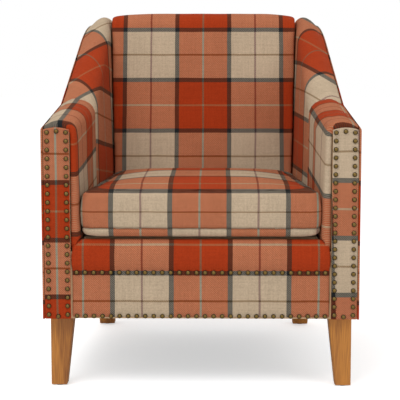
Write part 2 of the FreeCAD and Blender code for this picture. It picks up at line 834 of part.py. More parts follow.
post_top_front = inside_back_at(post_top) + s.back_padding
roll_turn = math.radians(90 - s.back_recline)
roll_start_height = s.overall_height - s.back_roll_radius * (1 - math.cos(roll_turn))
roll_start = inside_back_at(roll_start_height)
roll_crown = roll_start + s.back_roll_radius * math.sin(roll_turn)
half_turn = roll_turn / 2
roll_middle = Vector(
    0,
    roll_crown - s.back_roll_radius * math.sin(half_turn),
    s.overall_height - s.back_roll_radius * (1 - math.cos(half_turn)),
)
rear_edge_height = s.overall_height - s.back_roll_drop
rear_edge = outside_back_at(rear_edge_height) - skin
tack_bottom = rail_top + s.tack_rail_rise


def across_from(y, z):
    return Vector(0, y, z)


back_profile = Part.Wire(
    [
        Part.makeLine(
            across_from(inside_back_at(tack_bottom), tack_bottom), across_from(roll_start, roll_start_height)
        ),
        Part.Arc(
            across_from(roll_start, roll_start_height), roll_middle, across_from(roll_crown, s.overall_height)
        ).toShape(),
        Part.Arc(
            across_from(roll_crown, s.overall_height),
            across_from((roll_crown + rear_edge) / 2, s.overall_height - s.back_roll_sag),
            across_from(rear_edge, rear_edge_height),
        ).toShape(),
        Part.makeLine(
            across_from(rear_edge, rear_edge_height),
            across_from(outside_back_at(post_top) - skin, post_top),
        ),
        Part.makeLine(
            across_from(outside_back_at(post_top) - skin, post_top),
            across_from(post_top_front, post_top),
        ),
        Part.makeLine(
            across_from(post_top_front, post_top),
            across_from(post_front, s.back_post_bend_height),
        ),
        Part.makeLine(
            across_from(post_front, s.back_post_bend_height), across_from(post_front, tack_bottom)
        ),
        Part.makeLine(
            across_from(post_front, tack_bottom), across_from(inside_back_at(tack_bottom), tack_bottom)
        ),
    ]
)
back_slab = Part.Face(back_profile).extrude(Vector(s.overall_width / 2, 0, 0))
back_spread = (s.back_side_bottom - s.back_side_top) / (s.overall_height - seat_height)


def back_half_at(height):
    """Half the width of the inside back at a height."""
    return rear_half - s.back_side_bottom + (height - seat_height) * back_spread


back_outline = [
    Vector(0, 0, 0),
    Vector(back_half_at(0), 0, 0),
    Vector(back_half_at(above), 0, above),
    Vector(0, 0, above),
]
back_zone = Part.Face(Part.makePolygon(back_outline + back_outline[:1])).extrude(Vector(0, beyond, 0))
back_half = back_slab.common(back_zone)
back_pad = back_half.fuse(right_and_left(back_half)[1]).removeSplitter()
keep(feature("inside_back", back_pad), "inside_back")

# What the wing's padding leaves free: the inside back with the frame and webs behind it

behind_inside_back = side_block(
    [(inside_back_at(0), 0), (inside_back_at(above), above), (beyond, above), (beyond, 0)], 0, s.overall_width
)
behind_posts = [
    (post_front, 0),
    (post_front, s.back_post_bend_height),
    (post_top_front, post_top),
    (beyond, post_top),
    (beyond, 0),
]
frame_room = side_block(behind_posts, 0, post_inner)
over_rolled_top = back_half.fuse(behind_inside_back.common(back_zone))

# Front border: a padded roll over the front rail, above a flat strip

border_top = rail_top + s.border_rise
border_roll_base = border_top - s.border_roll_height
clip_front = s.rail_setback + (s.rail_thickness - s.clip_depth) / 2 - s.running_clearance
roll_face = s.border_front_setback - s.border_roll_depth / 2
border_middle_height = (border_roll_base + border_top) / 2
clip_room = s.clip_thickness * 2 + s.spring_wire + s.border_front_setback


def border_point(y, z):
    return Vector(-facing_inner, y, z)


border_corners = [
    border_point(front_rail_rear, border_top),
    border_point(front_rail_rear, rail_top + clip_room),
    border_point(clip_front, rail_top + clip_room),
    border_point(clip_front, rail_top),
    border_point(s.rail_setback, rail_top),
    border_point(s.rail_setback, underside),
    border_point(s.border_front_setback, underside),
    border_point(s.border_front_setback, border_roll_base),
]
border_edges = [Part.makeLine(a, b) for a, b in zip(border_corners, border_corners[1:])]
roll_top_front = border_point(s.rail_setback + s.border_roll_depth, border_top)
border_edges.append(
    Part.Arc(border_corners[-1], border_point(roll_face, border_middle_height), roll_top_front).toShape()
)
border_edges.append(Part.makeLine(roll_top_front, border_corners[0]))
border_slab = Part.Face(Part.Wire(border_edges)).extrude(Vector(2 * facing_inner, 0, 0))

corner_start = border_top - s.border_corner_radius
corner_middle = s.border_corner_radius * (1 - math.sqrt(0.5))


def outline_point(x, z):
    return Vector(x, -s.overall_depth, z)


border_front = Part.Wire(
    [
        Part.makeLine(outline_point(-facing_inner, 0), outline_point(facing_inner, 0)),
        Part.makeLine(outline_point(facing_inner, 0), outline_point(facing_inner, corner_start)),
        Part.Arc(
            outline_point(facing_inner, corner_start),
            outline_point(facing_inner - corner_middle, border_top - corner_middle),
            outline_point(facing_inner - s.border_corner_radius, border_top),
        ).toShape(),
        Part.makeLine(
            outline_point(facing_inner - s.border_corner_radius, border_top),
            outline_point(-facing_inner + s.border_corner_radius, border_top),
        ),
        Part.Arc(
            outline_point(-facing_inner + s.border_corner_radius, border_top),
            outline_point(-facing_inner + corner_middle, border_top - corner_middle),
            outline_point(-facing_inner, corner_start),
        ).toShape(),
        Part.makeLine(outline_point(-facing_inner, corner_start), outline_point(-facing_inner, 0)),
    ]
)
border = border_slab.common(Part.Face(border_front).extrude(Vector(0, beyond, 0)))
keep(feature("front_border", border), "front_border")

# Padding of the arm and the wing, round the frame

doc.recompute()
to_setback = Vector(0, s.overall_depth / 2 - s.nail_head_height, 0)


def solid_of(piece):
    """A finished piece's solid, with setbacks counted from the facings."""
    return piece.Shape.translated(to_setback)


above_rail = rail_top
arm_solid = arm_nose(above_rail).fuse(side_loft(arm_run, above_rail))
arm_frame = [solid_of(piece) for piece in (arm_post, arm_rail, wing_rail, back_post)]
arm_pad_shape = arm_solid.cut(outer_slab).cut(border)
wing_pad_shape = side_loft(wing_run, above_rail).cut(outer_slab).cut(behind_back)
wing_pad_shape = wing_pad_shape.cut(over_rolled_top).cut(frame_room)
for timber in arm_frame:
    arm_pad_shape = arm_pad_shape.cut(timber)
    wing_pad_shape = wing_pad_shape.cut(timber)


def largest(shape):
    """The main solid, without crumbs left by cuts."""
    return max(shape.Solids, key=lambda solid: solid.Volume)


arm_pad = keep(feature("arm_pad_right", largest(arm_pad_shape)), "arm_pad_right")
mirrored(arm_pad, "arm_pad_left")
wing_pad = keep(feature("wing_pad_right", largest(wing_pad_shape)), "wing_pad_right")
mirrored(wing_pad, "wing_pad_left")

# Outside back

back_body = new_body("outside_back")
PANEL_HEIGHT = f"((overall_height - back_roll_drop - {UNDERSIDE}) / cos(outside_back_lean * 1 deg))"
BACK_FOOT = outer_half(outside_back(UNDERSIDE))
BACK_TOP = outer_half(outside_back("overall_height - back_roll_drop"))
back_sketch = polygon_sketch(
    back_body,
    "XZ_Plane",
    [
        ("0", "0"),
        (BACK_FOOT, "0"),
        (BACK_TOP, f"{PANEL_HEIGHT} - outside_corner_rise"),
        (f"{BACK_TOP} - arm_edge_radius", f"{PANEL_HEIGHT} - outside_corner_rise / 2"),
        (f"{BACK_TOP} - arm_edge_radius - wing_roll_top", PANEL_HEIGHT),
        ("0", PANEL_HEIGHT),
    ],
)
back_pad_feature = pad(back_body, back_sketch, "outside_thickness")
both_halves(back_body, back_pad_feature)
place(back_body, setback=outside_back(UNDERSIDE), height=UNDERSIDE)
back_body.Placement.Rotation = Rotation(Vector(1, 0, 0), -s.outside_back_lean)
bind(back_body, "Placement.Rotation.Angle", "-outside_back_lean")
keep(back_body, "outside_back")

# Nailed facings on the arms' fronts


def facing(label):
    """A flat panel with an arched top, up the front of the right-hand arm."""
    body = new_body(label)
    sketch = body.newObject("Sketcher::SketchObject", "Outline")
    sketch.AttachmentSupport = [(origin_plane(body, "XZ_Plane"), "")]
    sketch.MapMode = "FlatFace"
    width, height, rise = s.facing_width, facing_top - underside, s.facing_top_rise
    low_left, low_right = Vector(0, 0, 0), Vector(width, 0, 0)
    high_left, high_right = Vector(0, height, 0), Vector(width, height, 0)
    sketch.addGeometry(Part.LineSegment(low_left, low_right))
    sketch.addGeometry(Part.LineSegment(low_right, high_right))
    sketch.addGeometry(Part.Arc(high_right, Vector(width / 2, height + rise, 0), high_left))
    sketch.addGeometry(Part.LineSegment(high_left, low_left))
    top_ends = (2, 1) if sketch.Geometry[2].StartPoint.x < width / 2 else (1, 2)
    sketch.addConstraint(Sketcher.Constraint("Coincident", 0, 2, 1, 1))
    sketch.addConstraint(Sketcher.Constraint("Coincident", 1, 2, 2, top_ends[0]))
    sketch.addConstraint(Sketcher.Constraint("Coincident", 2, top_ends[1], 3, 1))
    sketch.addConstraint(Sketcher.Constraint("Coincident", 3, 2, 0, 1))
    sketch.addConstraint(Sketcher.Constraint("Coincident", 0, 1, -1, 1))
    sketch.addConstraint(Sketcher.Constraint("Horizontal", 0))
    sketch.addConstraint(Sketcher.Constraint("Vertical", 1))
    sketch.addConstraint(Sketcher.Constraint("Vertical", 3))
    sketch.addConstraint(Sketcher.Constraint("Equal", 1, 3))
    radius_text = "((facing_width / 2) ^ 2 + facing_top_rise ^ 2) / (2 * facing_top_rise)"
    bound = (
        ("Distance", 0, width, "facing_width"),
        ("Distance", 1, height, f"{FACING_TOP} - {UNDERSIDE}"),
        ("Radius", 2, sketch.Geometry[2].Radius, radius_text),
    )
    for kind, edge, value, text in bound:
        index = sketch.addConstraint(Sketcher.Constraint(kind, edge, value))
        bind(sketch, f"Constraints[{index}]", text)
    pad(body, sketch, "facing_thickness", reverse=True)
    place(body, FACING_INNER, height=UNDERSIDE)
    return keep(body, label)


right_facing = facing("arm_facing_right")
mirrored(right_facing, "arm_facing_left")

# Domed nails: an eight-sided head on a pointed square shank, driven backwards


def ring(across, sides, y, turn=0.0):
    """A closed outline round the nail's axis, with corners on the given width."""
    angles = [2 * math.pi * i / sides + turn for i in range(sides)]
    points = [Vector(across / 2 * math.cos(a), y, across / 2 * math.sin(a)) for a in angles]
    return Part.makePolygon(points + points[:1])


eighth = math.pi / 8
crown_ring = ring(s.nail_crown_width, 8, -s.nail_head_height, eighth)
nail_head = Part.makeLoft([crown_ring, ring(s.nail_head_width, 8, 0, eighth)], True, True)
nail_tip = s.nail_shank_width / 4
nail_shank = Part.makeLoft(
    [ring(s.nail_shank_width, 4, -nail_tip), ring(nail_tip, 4, s.nail_shank_length)], True, True
)
nail = nail_head.fuse(nail_shank).removeSplitter()


def nail_at(x, y, z):
    return nail.translated(Vector(x, y, z))


column_foot = underside + s.nail_column_rise
column_top = facing_top - s.nail_column_drop
column_count = round((column_top - column_foot) / s.nail_pitch) + 1
inner_nails = facing_inner + s.nail_inner_inset
outer_nails = facing_inner + s.facing_width - s.nail_outer_inset
middle_nails = (inner_nails + outer_nails) / 2
lower_row = underside + s.nail_lower_row_rise


def facing_nails(count):
    """Both columns of nails on the right-hand facing, with one between them at the top and the bottom."""
    group = [
        nail_at(middle_nails, 0, column_top + s.facing_top_rise / 2),
        nail_at(middle_nails, 0, lower_row),
    ]
    for z in even_steps(column_foot, column_top, count):
        group.append(nail_at(inner_nails, 0, z))
        group.append(nail_at(outer_nails, 0, z))
    return Part.makeCompound(group)


# The right-hand columns hold one nail more than the left-hand ones
right_nails = facing_nails(column_count + 1)
left_nails = facing_nails(column_count).mirror(Vector(0, 0, 0), Vector(1, 0, 0))
keep(feature("arm_nails_right", right_nails), "arm_nails_right")
keep(feature("arm_nails_left", left_nails), "arm_nails_left")

row_end = facing_inner - s.nail_row_margin
row_count = round(2 * row_end / s.nail_row_pitch) + 1
upper_row = border_roll_base - s.nail_upper_row_drop
for label, height in (("rail_nails_upper", upper_row), ("rail_nails_lower", lower_row)):
    row_of_nails = [
        nail_at(x, s.border_front_setback, height)
        for x in even_steps(-row_end, row_end, row_count)
    ]
    keep(feature(label, Part.makeCompound(row_of_nails)), label)

# Zigzag seat springs in clips on the front and back rails


def strip(path, width, thickness):
    """A flat-sided bar that follows a path of (across, setback) points with mitred corners."""
    points = [Vector(x, y, 0) for x, y in path]
    left, right = [], []
    for i, here in enumerate(points):
        before = (here - points[i - 1]).normalize() if i else (points[1] - here).normalize()
        after = (points[i + 1] - here).normalize() if i + 1 < len(points) else before
        along = (before + after).normalize()
        sideways = Vector(-along.y, along.x, 0)
        reach = width / 2 / (sideways.x * -before.y + sideways.y * before.x)
        left.append(here + sideways * reach)
        right.append(here - sideways * reach)
    outline = left + right[::-1]
    return Part.Face(Part.makePolygon(outline + outline[:1])).extrude(Vector(0, 0, thickness))


front_clip = s.rail_setback + s.rail_thickness / 2
rear_clip = rear_rail_front + s.rail_thickness / 2
half_spring = s.spring_width / 2
cut_corner = s.spring_pitch / 4
spring_bars = 2 * round((rear_clip - front_clip) / s.spring_pitch / 2) + 1
bar_gap = (rear_clip - front_clip) / (spring_bars - 1)


def zigzag(middle):
    """Path of one spring: crossbars joined by short sides, with the corners cut off."""
    path = []
    for i, y in enumerate(even_steps(front_clip, rear_clip, spring_bars)):
        side = 1 if i % 2 else -1
        start, end = middle - side * half_spring, middle + side * half_spring
        path.append((start + side * cut_corner, y) if i else (start, y))
        path.append((end - side * cut_corner, y) if i + 1 < spring_bars else (end, y))
        if i + 1 < spring_bars:
            path.append((end, y + cut_corner))
            path.append((end, y + bar_gap - cut_corner))
    return path


spring_floor = rail_top + s.clip_thickness
spring_middles = even_steps(-s.spring_spread / 2, s.spring_spread / 2, round(s.spring_count))
springs = [
    strip(zigzag(middle), s.spring_wire, s.spring_wire).translated(Vector(0, 0, spring_floor))
    for middle in spring_middles
]
keep(feature("seat_springs", Part.makeCompound(springs)), "seat_springs")

clip_height = s.spring_wire + 2 * s.clip_thickness


def clip(middle, wire_y, outward):
    """A strip folded over a spring's end crossbar, open towards the other rail."""
    corner = Vector(middle - s.clip_width / 2, wire_y - s.clip_depth / 2, rail_top)
    body = Part.makeBox(s.clip_width, s.clip_depth, clip_height, corner)
    slot_depth = s.clip_depth / 2 + s.spring_wire / 2
    slot_start = wire_y - s.spring_wire / 2 if outward > 0 else wire_y + s.spring_wire / 2 - slot_depth
    slot = Part.makeBox(s.clip_width, slot_depth, s.spring_wire, Vector(corner.x, slot_start, spring_floor))
    return body.cut(slot)


clips = []
for middle in spring_middles:
    clips.append(clip(middle, front_clip, 1))
    clips.append(clip(middle, rear_clip, -1))
keep(feature("spring_clips", Part.makeCompound(clips)), "spring_clips")

# Elastic webs across the back, between the posts

web_tilt = math.degrees(
    math.atan2(post_top_front - post_front, post_top - s.back_post_bend_height)
)
lowest_web = tack_bottom + s.tack_rail_height + s.web_low_gap
highest_web = post_top - s.top_rail_height - s.web_high_gap - s.web_height
webs = []
for web_foot in even_steps(lowest_web, highest_web, round(s.web_count)):
    web = Part.makeBox(2 * post_inner, s.web_thickness, s.web_height, Vector(-post_inner, 0, 0))
    web.rotate(Vector(0, 0, 0), Vector(1, 0, 0), -web_tilt)
    setback = post_front + (web_foot - s.back_post_bend_height) * math.tan(math.radians(web_tilt))
    webs.append(web.translated(Vector(0, setback, web_foot)))
keep(feature("back_webs", Part.makeCompound(webs)), "back_webs")

# Felt insulator, padded deck and dust cover, each drawn as a half

SEAT_FRONT_HALF = f"({outer_half('0')} - side_width_front)"
SEAT_REAR_HALF = f"({outer_half(SEAT_DEPTH)} - side_width_rear)"
SEAT_TAPER = f"(({SEAT_FRONT_HALF} - {SEAT_REAR_HALF}) / {SEAT_DEPTH})"
BORDER_REAR = "(rail_setback + rail_thickness + running_clearance)"
DECK_UNDERSIDE = f"({CUSHION_UNDERSIDE} - running_clearance - deck_thickness)"


def seat_half(setback):
    return f"({SEAT_FRONT_HALF} - {SEAT_TAPER} * ({setback}) - running_clearance)"


def half_plate(label, corners, thickness, height):
    """A flat layer drawn as its right-hand half and mirrored."""
    body = new_body(label)
    half = pad(body, polygon_sketch(body, "XY_Plane", corners), thickness)
    both_halves(body, half)
    place(body, height=height)
    return keep(body, label)


DECK_REAR = (
    f"({SEAT_DEPTH} - ({SEAT_HEIGHT} - {TACK_BOTTOM}) * tan(back_recline * 1 deg) - 2 * running_clearance)"
)
half_plate(
    "seat_deck",
    [
        ("0", BORDER_REAR),
        (seat_half(BORDER_REAR), BORDER_REAR),
        (seat_half(DECK_REAR), DECK_REAR),
        ("0", DECK_REAR),
    ],
    "deck_thickness",
    DECK_UNDERSIDE,
)
INSULATOR_FRONT = "(rail_setback + rail_thickness / 2 + clip_depth / 2 + spring_wire)"
INSULATOR_REAR = f"({POST_FRONT} + rail_thickness - clip_depth / 2 - spring_wire)"
half_plate(
    "spring_insulator",
    [
        ("0", INSULATOR_FRONT),
        (f"{seat_half(INSULATOR_REAR)}", INSULATOR_FRONT),
        (f"{seat_half(INSULATOR_REAR)}", INSULATOR_REAR),
        ("0", INSULATOR_REAR),
    ],
    "insulator_thickness",
    f"{DECK_UNDERSIDE} - insulator_thickness",
)

LEG_INNER = f"({LEG_OUTER} - leg_top_width - dust_cover_margin)"
LEG_BEHIND = "(front_leg_setback + leg_top_width + dust_cover_margin)"
REAR_LEG_INNER = f"({REAR_LEG_MIDDLE} - leg_top_width / 2 - dust_cover_margin)"
AHEAD_OF_REAR_LEG = f"({REAR_LEG_FACE} - dust_cover_margin)"
COVER_FRONT = "(rail_setback + rail_thickness / 4)"
COVER_REAR = f"({POST_FRONT} + rail_thickness)"
half_plate(
    "dust_cover",
    [
        ("0", COVER_FRONT),
        (LEG_INNER, COVER_FRONT),
        (LEG_INNER, LEG_BEHIND),
        (f"{skin_inside(LEG_BEHIND)} - rail_thickness / 2", LEG_BEHIND),
        (f"{skin_inside(AHEAD_OF_REAR_LEG)} - rail_thickness / 2", AHEAD_OF_REAR_LEG),
        (REAR_LEG_INNER, AHEAD_OF_REAR_LEG),
        (REAR_LEG_INNER, COVER_REAR),
        ("0", COVER_REAR),
    ],
    "dust_cover_thickness",
    f"{UNDERSIDE} - dust_cover_thickness",
)

# Loose cushion: a cover with a crowned top and drawn-in seams, a foam core and a zip


def cushion_outline(height, inset):
    """Rounded outline of the cushion at a height, drawn in from its widest by an inset."""
    front = s.cushion_front_setback + inset
    rear = inside_back_at(height) - s.running_clearance - inset
    corner = s.cushion_corner_radius + inset / 5
    front_half = seat_half_at(front) - s.running_clearance - inset
    rear_half = seat_half_at(rear) - s.running_clearance - inset
    corners = [
        Vector(-front_half, front, height),
        Vector(front_half, front, height),
        Vector(rear_half, rear, height),
        Vector(-rear_half, rear, height),
    ]
    edges = []
    starts, middles, ends = [], [], []
    for i, here in enumerate(corners):
        to_last = (corners[i - 1] - here).normalize()
        to_next = (corners[(i + 1) % 4] - here).normalize()
        opening = to_last.getAngle(to_next)
        tangent = corner / math.tan(opening / 2)
        centre = here + (to_last + to_next).normalize() * (corner / math.sin(opening / 2))
        starts.append(here + to_last * tangent)
        ends.append(here + to_next * tangent)
        middles.append(centre + (here - centre).normalize() * corner)
    for i in range(4):
        edges.append(Part.Arc(starts[i], middles[i], ends[i]).toShape())
        edges.append(Part.makeLine(ends[i], starts[(i + 1) % 4]))
    return Part.Wire(edges)


def cushion_form(wall):
    """The cushion's outer form, or the same form inside a wall of cloth."""
    bottom = cushion_bottom + wall
    low_seam = cushion_bottom + s.cushion_turn
    seam = cushion_seam
    middle = (low_seam + seam) / 2
    turn = Part.makeLoft(
        [
            cushion_outline(bottom, wall + s.cushion_bulge + s.cushion_turn_inset),
            cushion_outline(low_seam + wall / 4, wall + s.cushion_bulge),
        ],
        True,
        True,
    )
    boxing = Part.makeLoft(
        [
            cushion_outline(low_seam + wall / 4, wall + s.cushion_bulge),
            cushion_outline((low_seam + middle) / 2, wall + s.cushion_bulge / 4),
            cushion_outline(middle, wall),
            cushion_outline((middle + seam) / 2, wall + s.cushion_bulge / 4),
            cushion_outline(seam, wall + s.cushion_bulge),
        ],
        True,
    )
    crown = []
    crown_run = seat_depth / 3 - wall
    for share in (0, 0.15, 0.35, 0.6, 1):
        rise = (s.cushion_crown - wall) * (1 - (1 - share) ** 2)
        crown.append(
            cushion_outline(seam + rise, wall + s.cushion_bulge + share * crown_run)
        )
    return turn.fuse([boxing, Part.makeLoft(crown, True)])


zip_middle = (cushion_bottom + cushion_seam) / 2
zip_length = 2 * (seat_half_at(inside_back_at(zip_middle)) - s.zip_end_gap)


def zip_block(height, depth, length, out=0.0):
    """A block sunk into the reclined back of the boxing, at the height of the zip."""
    block = Part.makeBox(length, depth + out, height, Vector(-length / 2, -depth, -height / 2))
    block.rotate(Vector(0, 0, 0), Vector(1, 0, 0), -s.back_recline)
    zip_y = inside_back_at(zip_middle) - s.running_clearance
    return block.translated(Vector(0, zip_y, zip_middle))


wall = s.cover_wall
channel_room = s.cushion_corner_radius
channel_length = zip_length + 2 * s.slider_length
channel = zip_block(s.zip_channel_height, s.zip_channel_depth, channel_length, channel_room)
lining = zip_block(
    s.zip_channel_height + 2 * wall,
    s.zip_channel_depth + wall,
    channel_length + 2 * wall,
    channel_room,
)
slit_height = s.zip_chain_width / 2
slit = zip_block(slit_height, s.zip_channel_depth + wall, zip_length)
outer_form = cushion_form(0)
hollow = cushion_form(wall).cut(lining)
cover = outer_form.cut(channel).cut(hollow).cut(slit)
keep(feature("cushion_cover", largest(cover)), "cushion_cover")
core = cushion_form(wall + s.running_clearance).cut(
    zip_block(
        s.zip_channel_height + 2 * (wall + s.running_clearance),
        s.zip_channel_depth + wall + s.running_clearance,
        channel_length + 2 * (wall + s.running_clearance),
        channel_room,
    )
)
keep(feature("cushion_core", largest(core)), "cushion_core")

# Zip: tape on the channel's floor, a tongue that fills its slit, and the closed teeth


def channel_part(height, low, high, length):
    """A block that stands between two levels over the channel's floor."""
    block = Part.makeBox(
        length, high - low, height, Vector(-length / 2, low - s.zip_channel_depth, -height / 2)
    )
    block.rotate(Vector(0, 0, 0), Vector(1, 0, 0), -s.back_recline)
    zip_y = inside_back_at(zip_middle) - s.running_clearance
    return block.translated(Vector(0, zip_y, zip_middle))


tape_top = s.zip_tape_thickness
chain_top = tape_top + s.zip_chain_thickness
tape = channel_part(s.zip_channel_height, 0, tape_top, zip_length)
tongue = channel_part(slit_height, -wall, 0, zip_length)
chain = channel_part(s.zip_chain_width, tape_top, chain_top, zip_length)
zip_shape = tape.fuse([tongue, chain]).removeSplitter()
keep(feature("cushion_zip", zip_shape), "cushion_zip")

gap = s.running_clearance
slider_inner = s.zip_chain_width + 2 * gap
slider_outer = slider_inner + 2 * s.slider_wall
slider_shell = channel_part(slider_outer, tape_top + gap, chain_top + gap + s.slider_wall, s.slider_length)
slider_shell = slider_shell.cut(channel_part(slider_inner, tape_top, chain_top + gap, 2 * s.slider_length))
pull_width = slider_outer / 2
pull_start = chain_top + gap + s.slider_wall
pull = channel_part(pull_width, pull_start, pull_start + s.slider_wall, s.slider_length * 1.5)
pull = pull.translated(Vector(-s.slider_length / 2, 0, 0))
closed_end = (zip_length - s.slider_length) / 2
slider = slider_shell.fuse(pull).removeSplitter().translated(Vector(closed_end, 0, 0))
keep(feature("zip_slider", slider), "zip_slider")

# Check every piece, then write it

doc.recompute()
for obj in doc.Objects:
    if "Invalid" in obj.State or "Error" in obj.State:
        raise RuntimeError(f"{obj.Name} didn't compute: {obj.State}")
os.makedirs("parts", exist_ok=True)
for piece in nodes:
    shape = piece.Shape
    if shape.isNull() or not shape.isValid() or not shape.Solids:
        raise RuntimeError(f"{piece.Label} isn't a sound solid")
    shape.exportStep(f"parts/{piece.Label}.step")
    box_of = shape.optimalBoundingBox()
    print(
        f"{piece.Label:22s} solids {len(shape.Solids):3d} faces {len(shape.Faces):5d} "
        f"x {box_of.XMin:7.1f} {box_of.XMax:7.1f} y {box_of.YMin:7.1f} {box_of.YMax:7.1f} "
        f"z {box_of.ZMin:6.1f} {box_of.ZMax:6.1f} volume {shape.Volume / 1000:9.1f} cm3"
    )
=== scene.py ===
"""Fireside chair in a large woven check: the cloth, padding, nails, finishes and stage
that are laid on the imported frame. Lengths are in metres. Left and right are as seen from
the front. A setback is how far behind the face of the arm facings a place lies."""
import math

import bmesh
import bpy
import numpy as np
from bpy.props import FloatProperty, IntProperty, PointerProperty
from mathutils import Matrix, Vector, noise


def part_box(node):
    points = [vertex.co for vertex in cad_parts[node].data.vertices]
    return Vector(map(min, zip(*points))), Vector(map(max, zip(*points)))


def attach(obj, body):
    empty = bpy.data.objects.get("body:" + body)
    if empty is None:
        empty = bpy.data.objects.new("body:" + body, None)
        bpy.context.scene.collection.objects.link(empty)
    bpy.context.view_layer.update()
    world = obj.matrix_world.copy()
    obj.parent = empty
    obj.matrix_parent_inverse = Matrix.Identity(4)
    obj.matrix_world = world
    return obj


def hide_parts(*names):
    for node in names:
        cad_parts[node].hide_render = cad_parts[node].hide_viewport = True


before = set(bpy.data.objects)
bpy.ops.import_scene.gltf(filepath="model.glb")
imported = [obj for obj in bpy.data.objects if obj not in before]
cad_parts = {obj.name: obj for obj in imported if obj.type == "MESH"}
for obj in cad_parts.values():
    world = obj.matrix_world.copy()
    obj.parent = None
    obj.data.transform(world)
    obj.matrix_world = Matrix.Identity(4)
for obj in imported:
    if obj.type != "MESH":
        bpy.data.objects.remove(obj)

bl_info = {
    "name": "Fireside chair",
    "version": (1, 0, 0),
    "blender": (4, 5, 0),
    "location": "3D View > Sidebar > Chair",
    "description": "Upholsters, nails and finishes a fireside chair on its packed frame",
    "category": "Object",
}

# the front face of the arm facings, from which setbacks are counted
FACING_FACE = -0.3665
# the side outline by setback
SEAM_SETBACK = 0.245
REAR_SETBACK = 0.617
OUTER_HALF = 0.350
OUTER_TAPER = 0.06284
SHOULDER_FRONT, SHOULDER_SEAM, SHOULDER_REAR = 0.274, 0.249, 0.240
ROLL_FRONT, ROLL_SEAM = 0.022, 0.038
ROLL_DROP = 1.15
CAP_FRONT, CAP_SEAM = 0.587, 0.626
# from one dark band of the cloth to the next, and the share of that which a laid band takes
STRIPE = 0.133
BAND_SHARE = 0.10
# where the check's dark bands fall on each piece, and its pitch there
SIDE_COLUMN, SIDE_ROW = 0.060, 0.4617
BACK_COLUMN, BACK_COLUMN_PITCH = -0.0677, 0.1346
BACK_ROW, BACK_ROW_PITCH = 0.7971, 0.1287
BORDER_COLUMN, BORDER_ROW = -0.0653, 0.2606
BORDER_COLUMN_PITCH, BORDER_ROW_PITCH = 0.1302, 0.126
FACING_PITCH = 0.1270
LEFT_FACING_MIDDLE, LEFT_FACING_ROW = -0.3175, 0.4617
RIGHT_FACING_COLUMN, RIGHT_FACING_ROW = 0.290, 0.4674
RIGHT_FACING_LEAN, RIGHT_FACING_LEVEL = 0.04, 0.25
CUSHION_COLUMN, CUSHION_ROW = -0.0680, 0.4415
CUSHION_COLUMN_PITCH, CUSHION_ROW_PITCH = 0.1300, 0.0886
CUSHION_TOP_START, CUSHION_TOP_PITCH = 0.033, 0.140
CUSHION_TOP_SEAM, CUSHION_FOOT_SEAM = 0.4445, 0.3600
CUSHION_FRONT, CUSHION_FRONT_ROW = -0.01, 0.06
CUSHION_FOOT_ROW, CUSHION_FOOT_RATE = -0.75, 7.5
CUSHION_CORNER = 0.03
# column edges over the arms: setback on the cap, how far it moves down the inner face, half width
LEFT_ARM_EDGES = ((0.009, 0.019, 0.0055), (0.127, 0.0, 0.0017), (0.195, 0.0, 0.0017),
                  (0.262, 0.0, 0.0017))
RIGHT_ARM_EDGES = ((0.006, -0.016, 0.0040), (0.060, 0.078, 0.0015), (0.120, 0.046, 0.0015),
                   (0.200, 0.018, 0.0015), (0.262, 0.014, 0.0015))
LEFT_ARM_ROW, LEFT_ARM_GIRTH, LEFT_ARM_PITCH = 1.0, 0.042, 0.133
RIGHT_ARM_ROW, RIGHT_ARM_GIRTH, RIGHT_ARM_PITCH = 2.0, 0.085, 0.137
# the girth at which an arm's cap ends, and the length over which it becomes the inner face
CAP_GIRTH, TURN_GIRTH = 0.055, 0.05
# the wings' stripes lean: their counts by setback, by reach past the shoulder and by height
LEFT_WING_COLUMN, LEFT_WING_COLUMN_PITCH, LEFT_WING_COLUMN_LEAN = 0.882, 0.248, 3.89
LEFT_WING_ROW, LEFT_WING_ROW_PITCH, LEFT_WING_ROW_LEAN = 0.3737, 0.1344, 5.812
LEFT_WING_ROW_RISE, LEFT_WING_LEVEL = 0.965, 0.45
RIGHT_WING_COLUMN, RIGHT_WING_COLUMN_PITCH, RIGHT_WING_COLUMN_LEAN = 0.430, 0.2135, 2.408
RIGHT_WING_ROW, RIGHT_WING_ROW_PITCH, RIGHT_WING_ROW_LEAN = 0.4521, 0.1306, 4.561
# the top ends of the inside back fall away by this much, within this height of the top
END_FALL, END_START, END_RUN, END_HALF = 0.009, 0.74, 0.10, 0.24
# the boxing swells ahead of this setback, and outwards of this distance from the middle
SWELL_SETBACK, SWELL_START, SWELL_RUN = 0.18, 0.18, 0.08
# the cushion's seams: depth and width of the draw, and depth, width and closeness of the puckers
SEAM_DEPTH, SEAM_WIDTH = 0.0026, 0.0035
PUCKER_DEPTH, PUCKER_WIDTH, PUCKER_RATE = 0.0007, 0.016, 190
# the camera of the photograph, and the height that the lamps point at
CAMERA_PLACE = (0.033, -3.2665, 0.7773)
CAMERA_DOWN, CAMERA_TURN = math.radians(6.945), math.radians(0.686)
LAMP_TARGET = Vector((0, 0, 0.45))


# Sockets and node trees

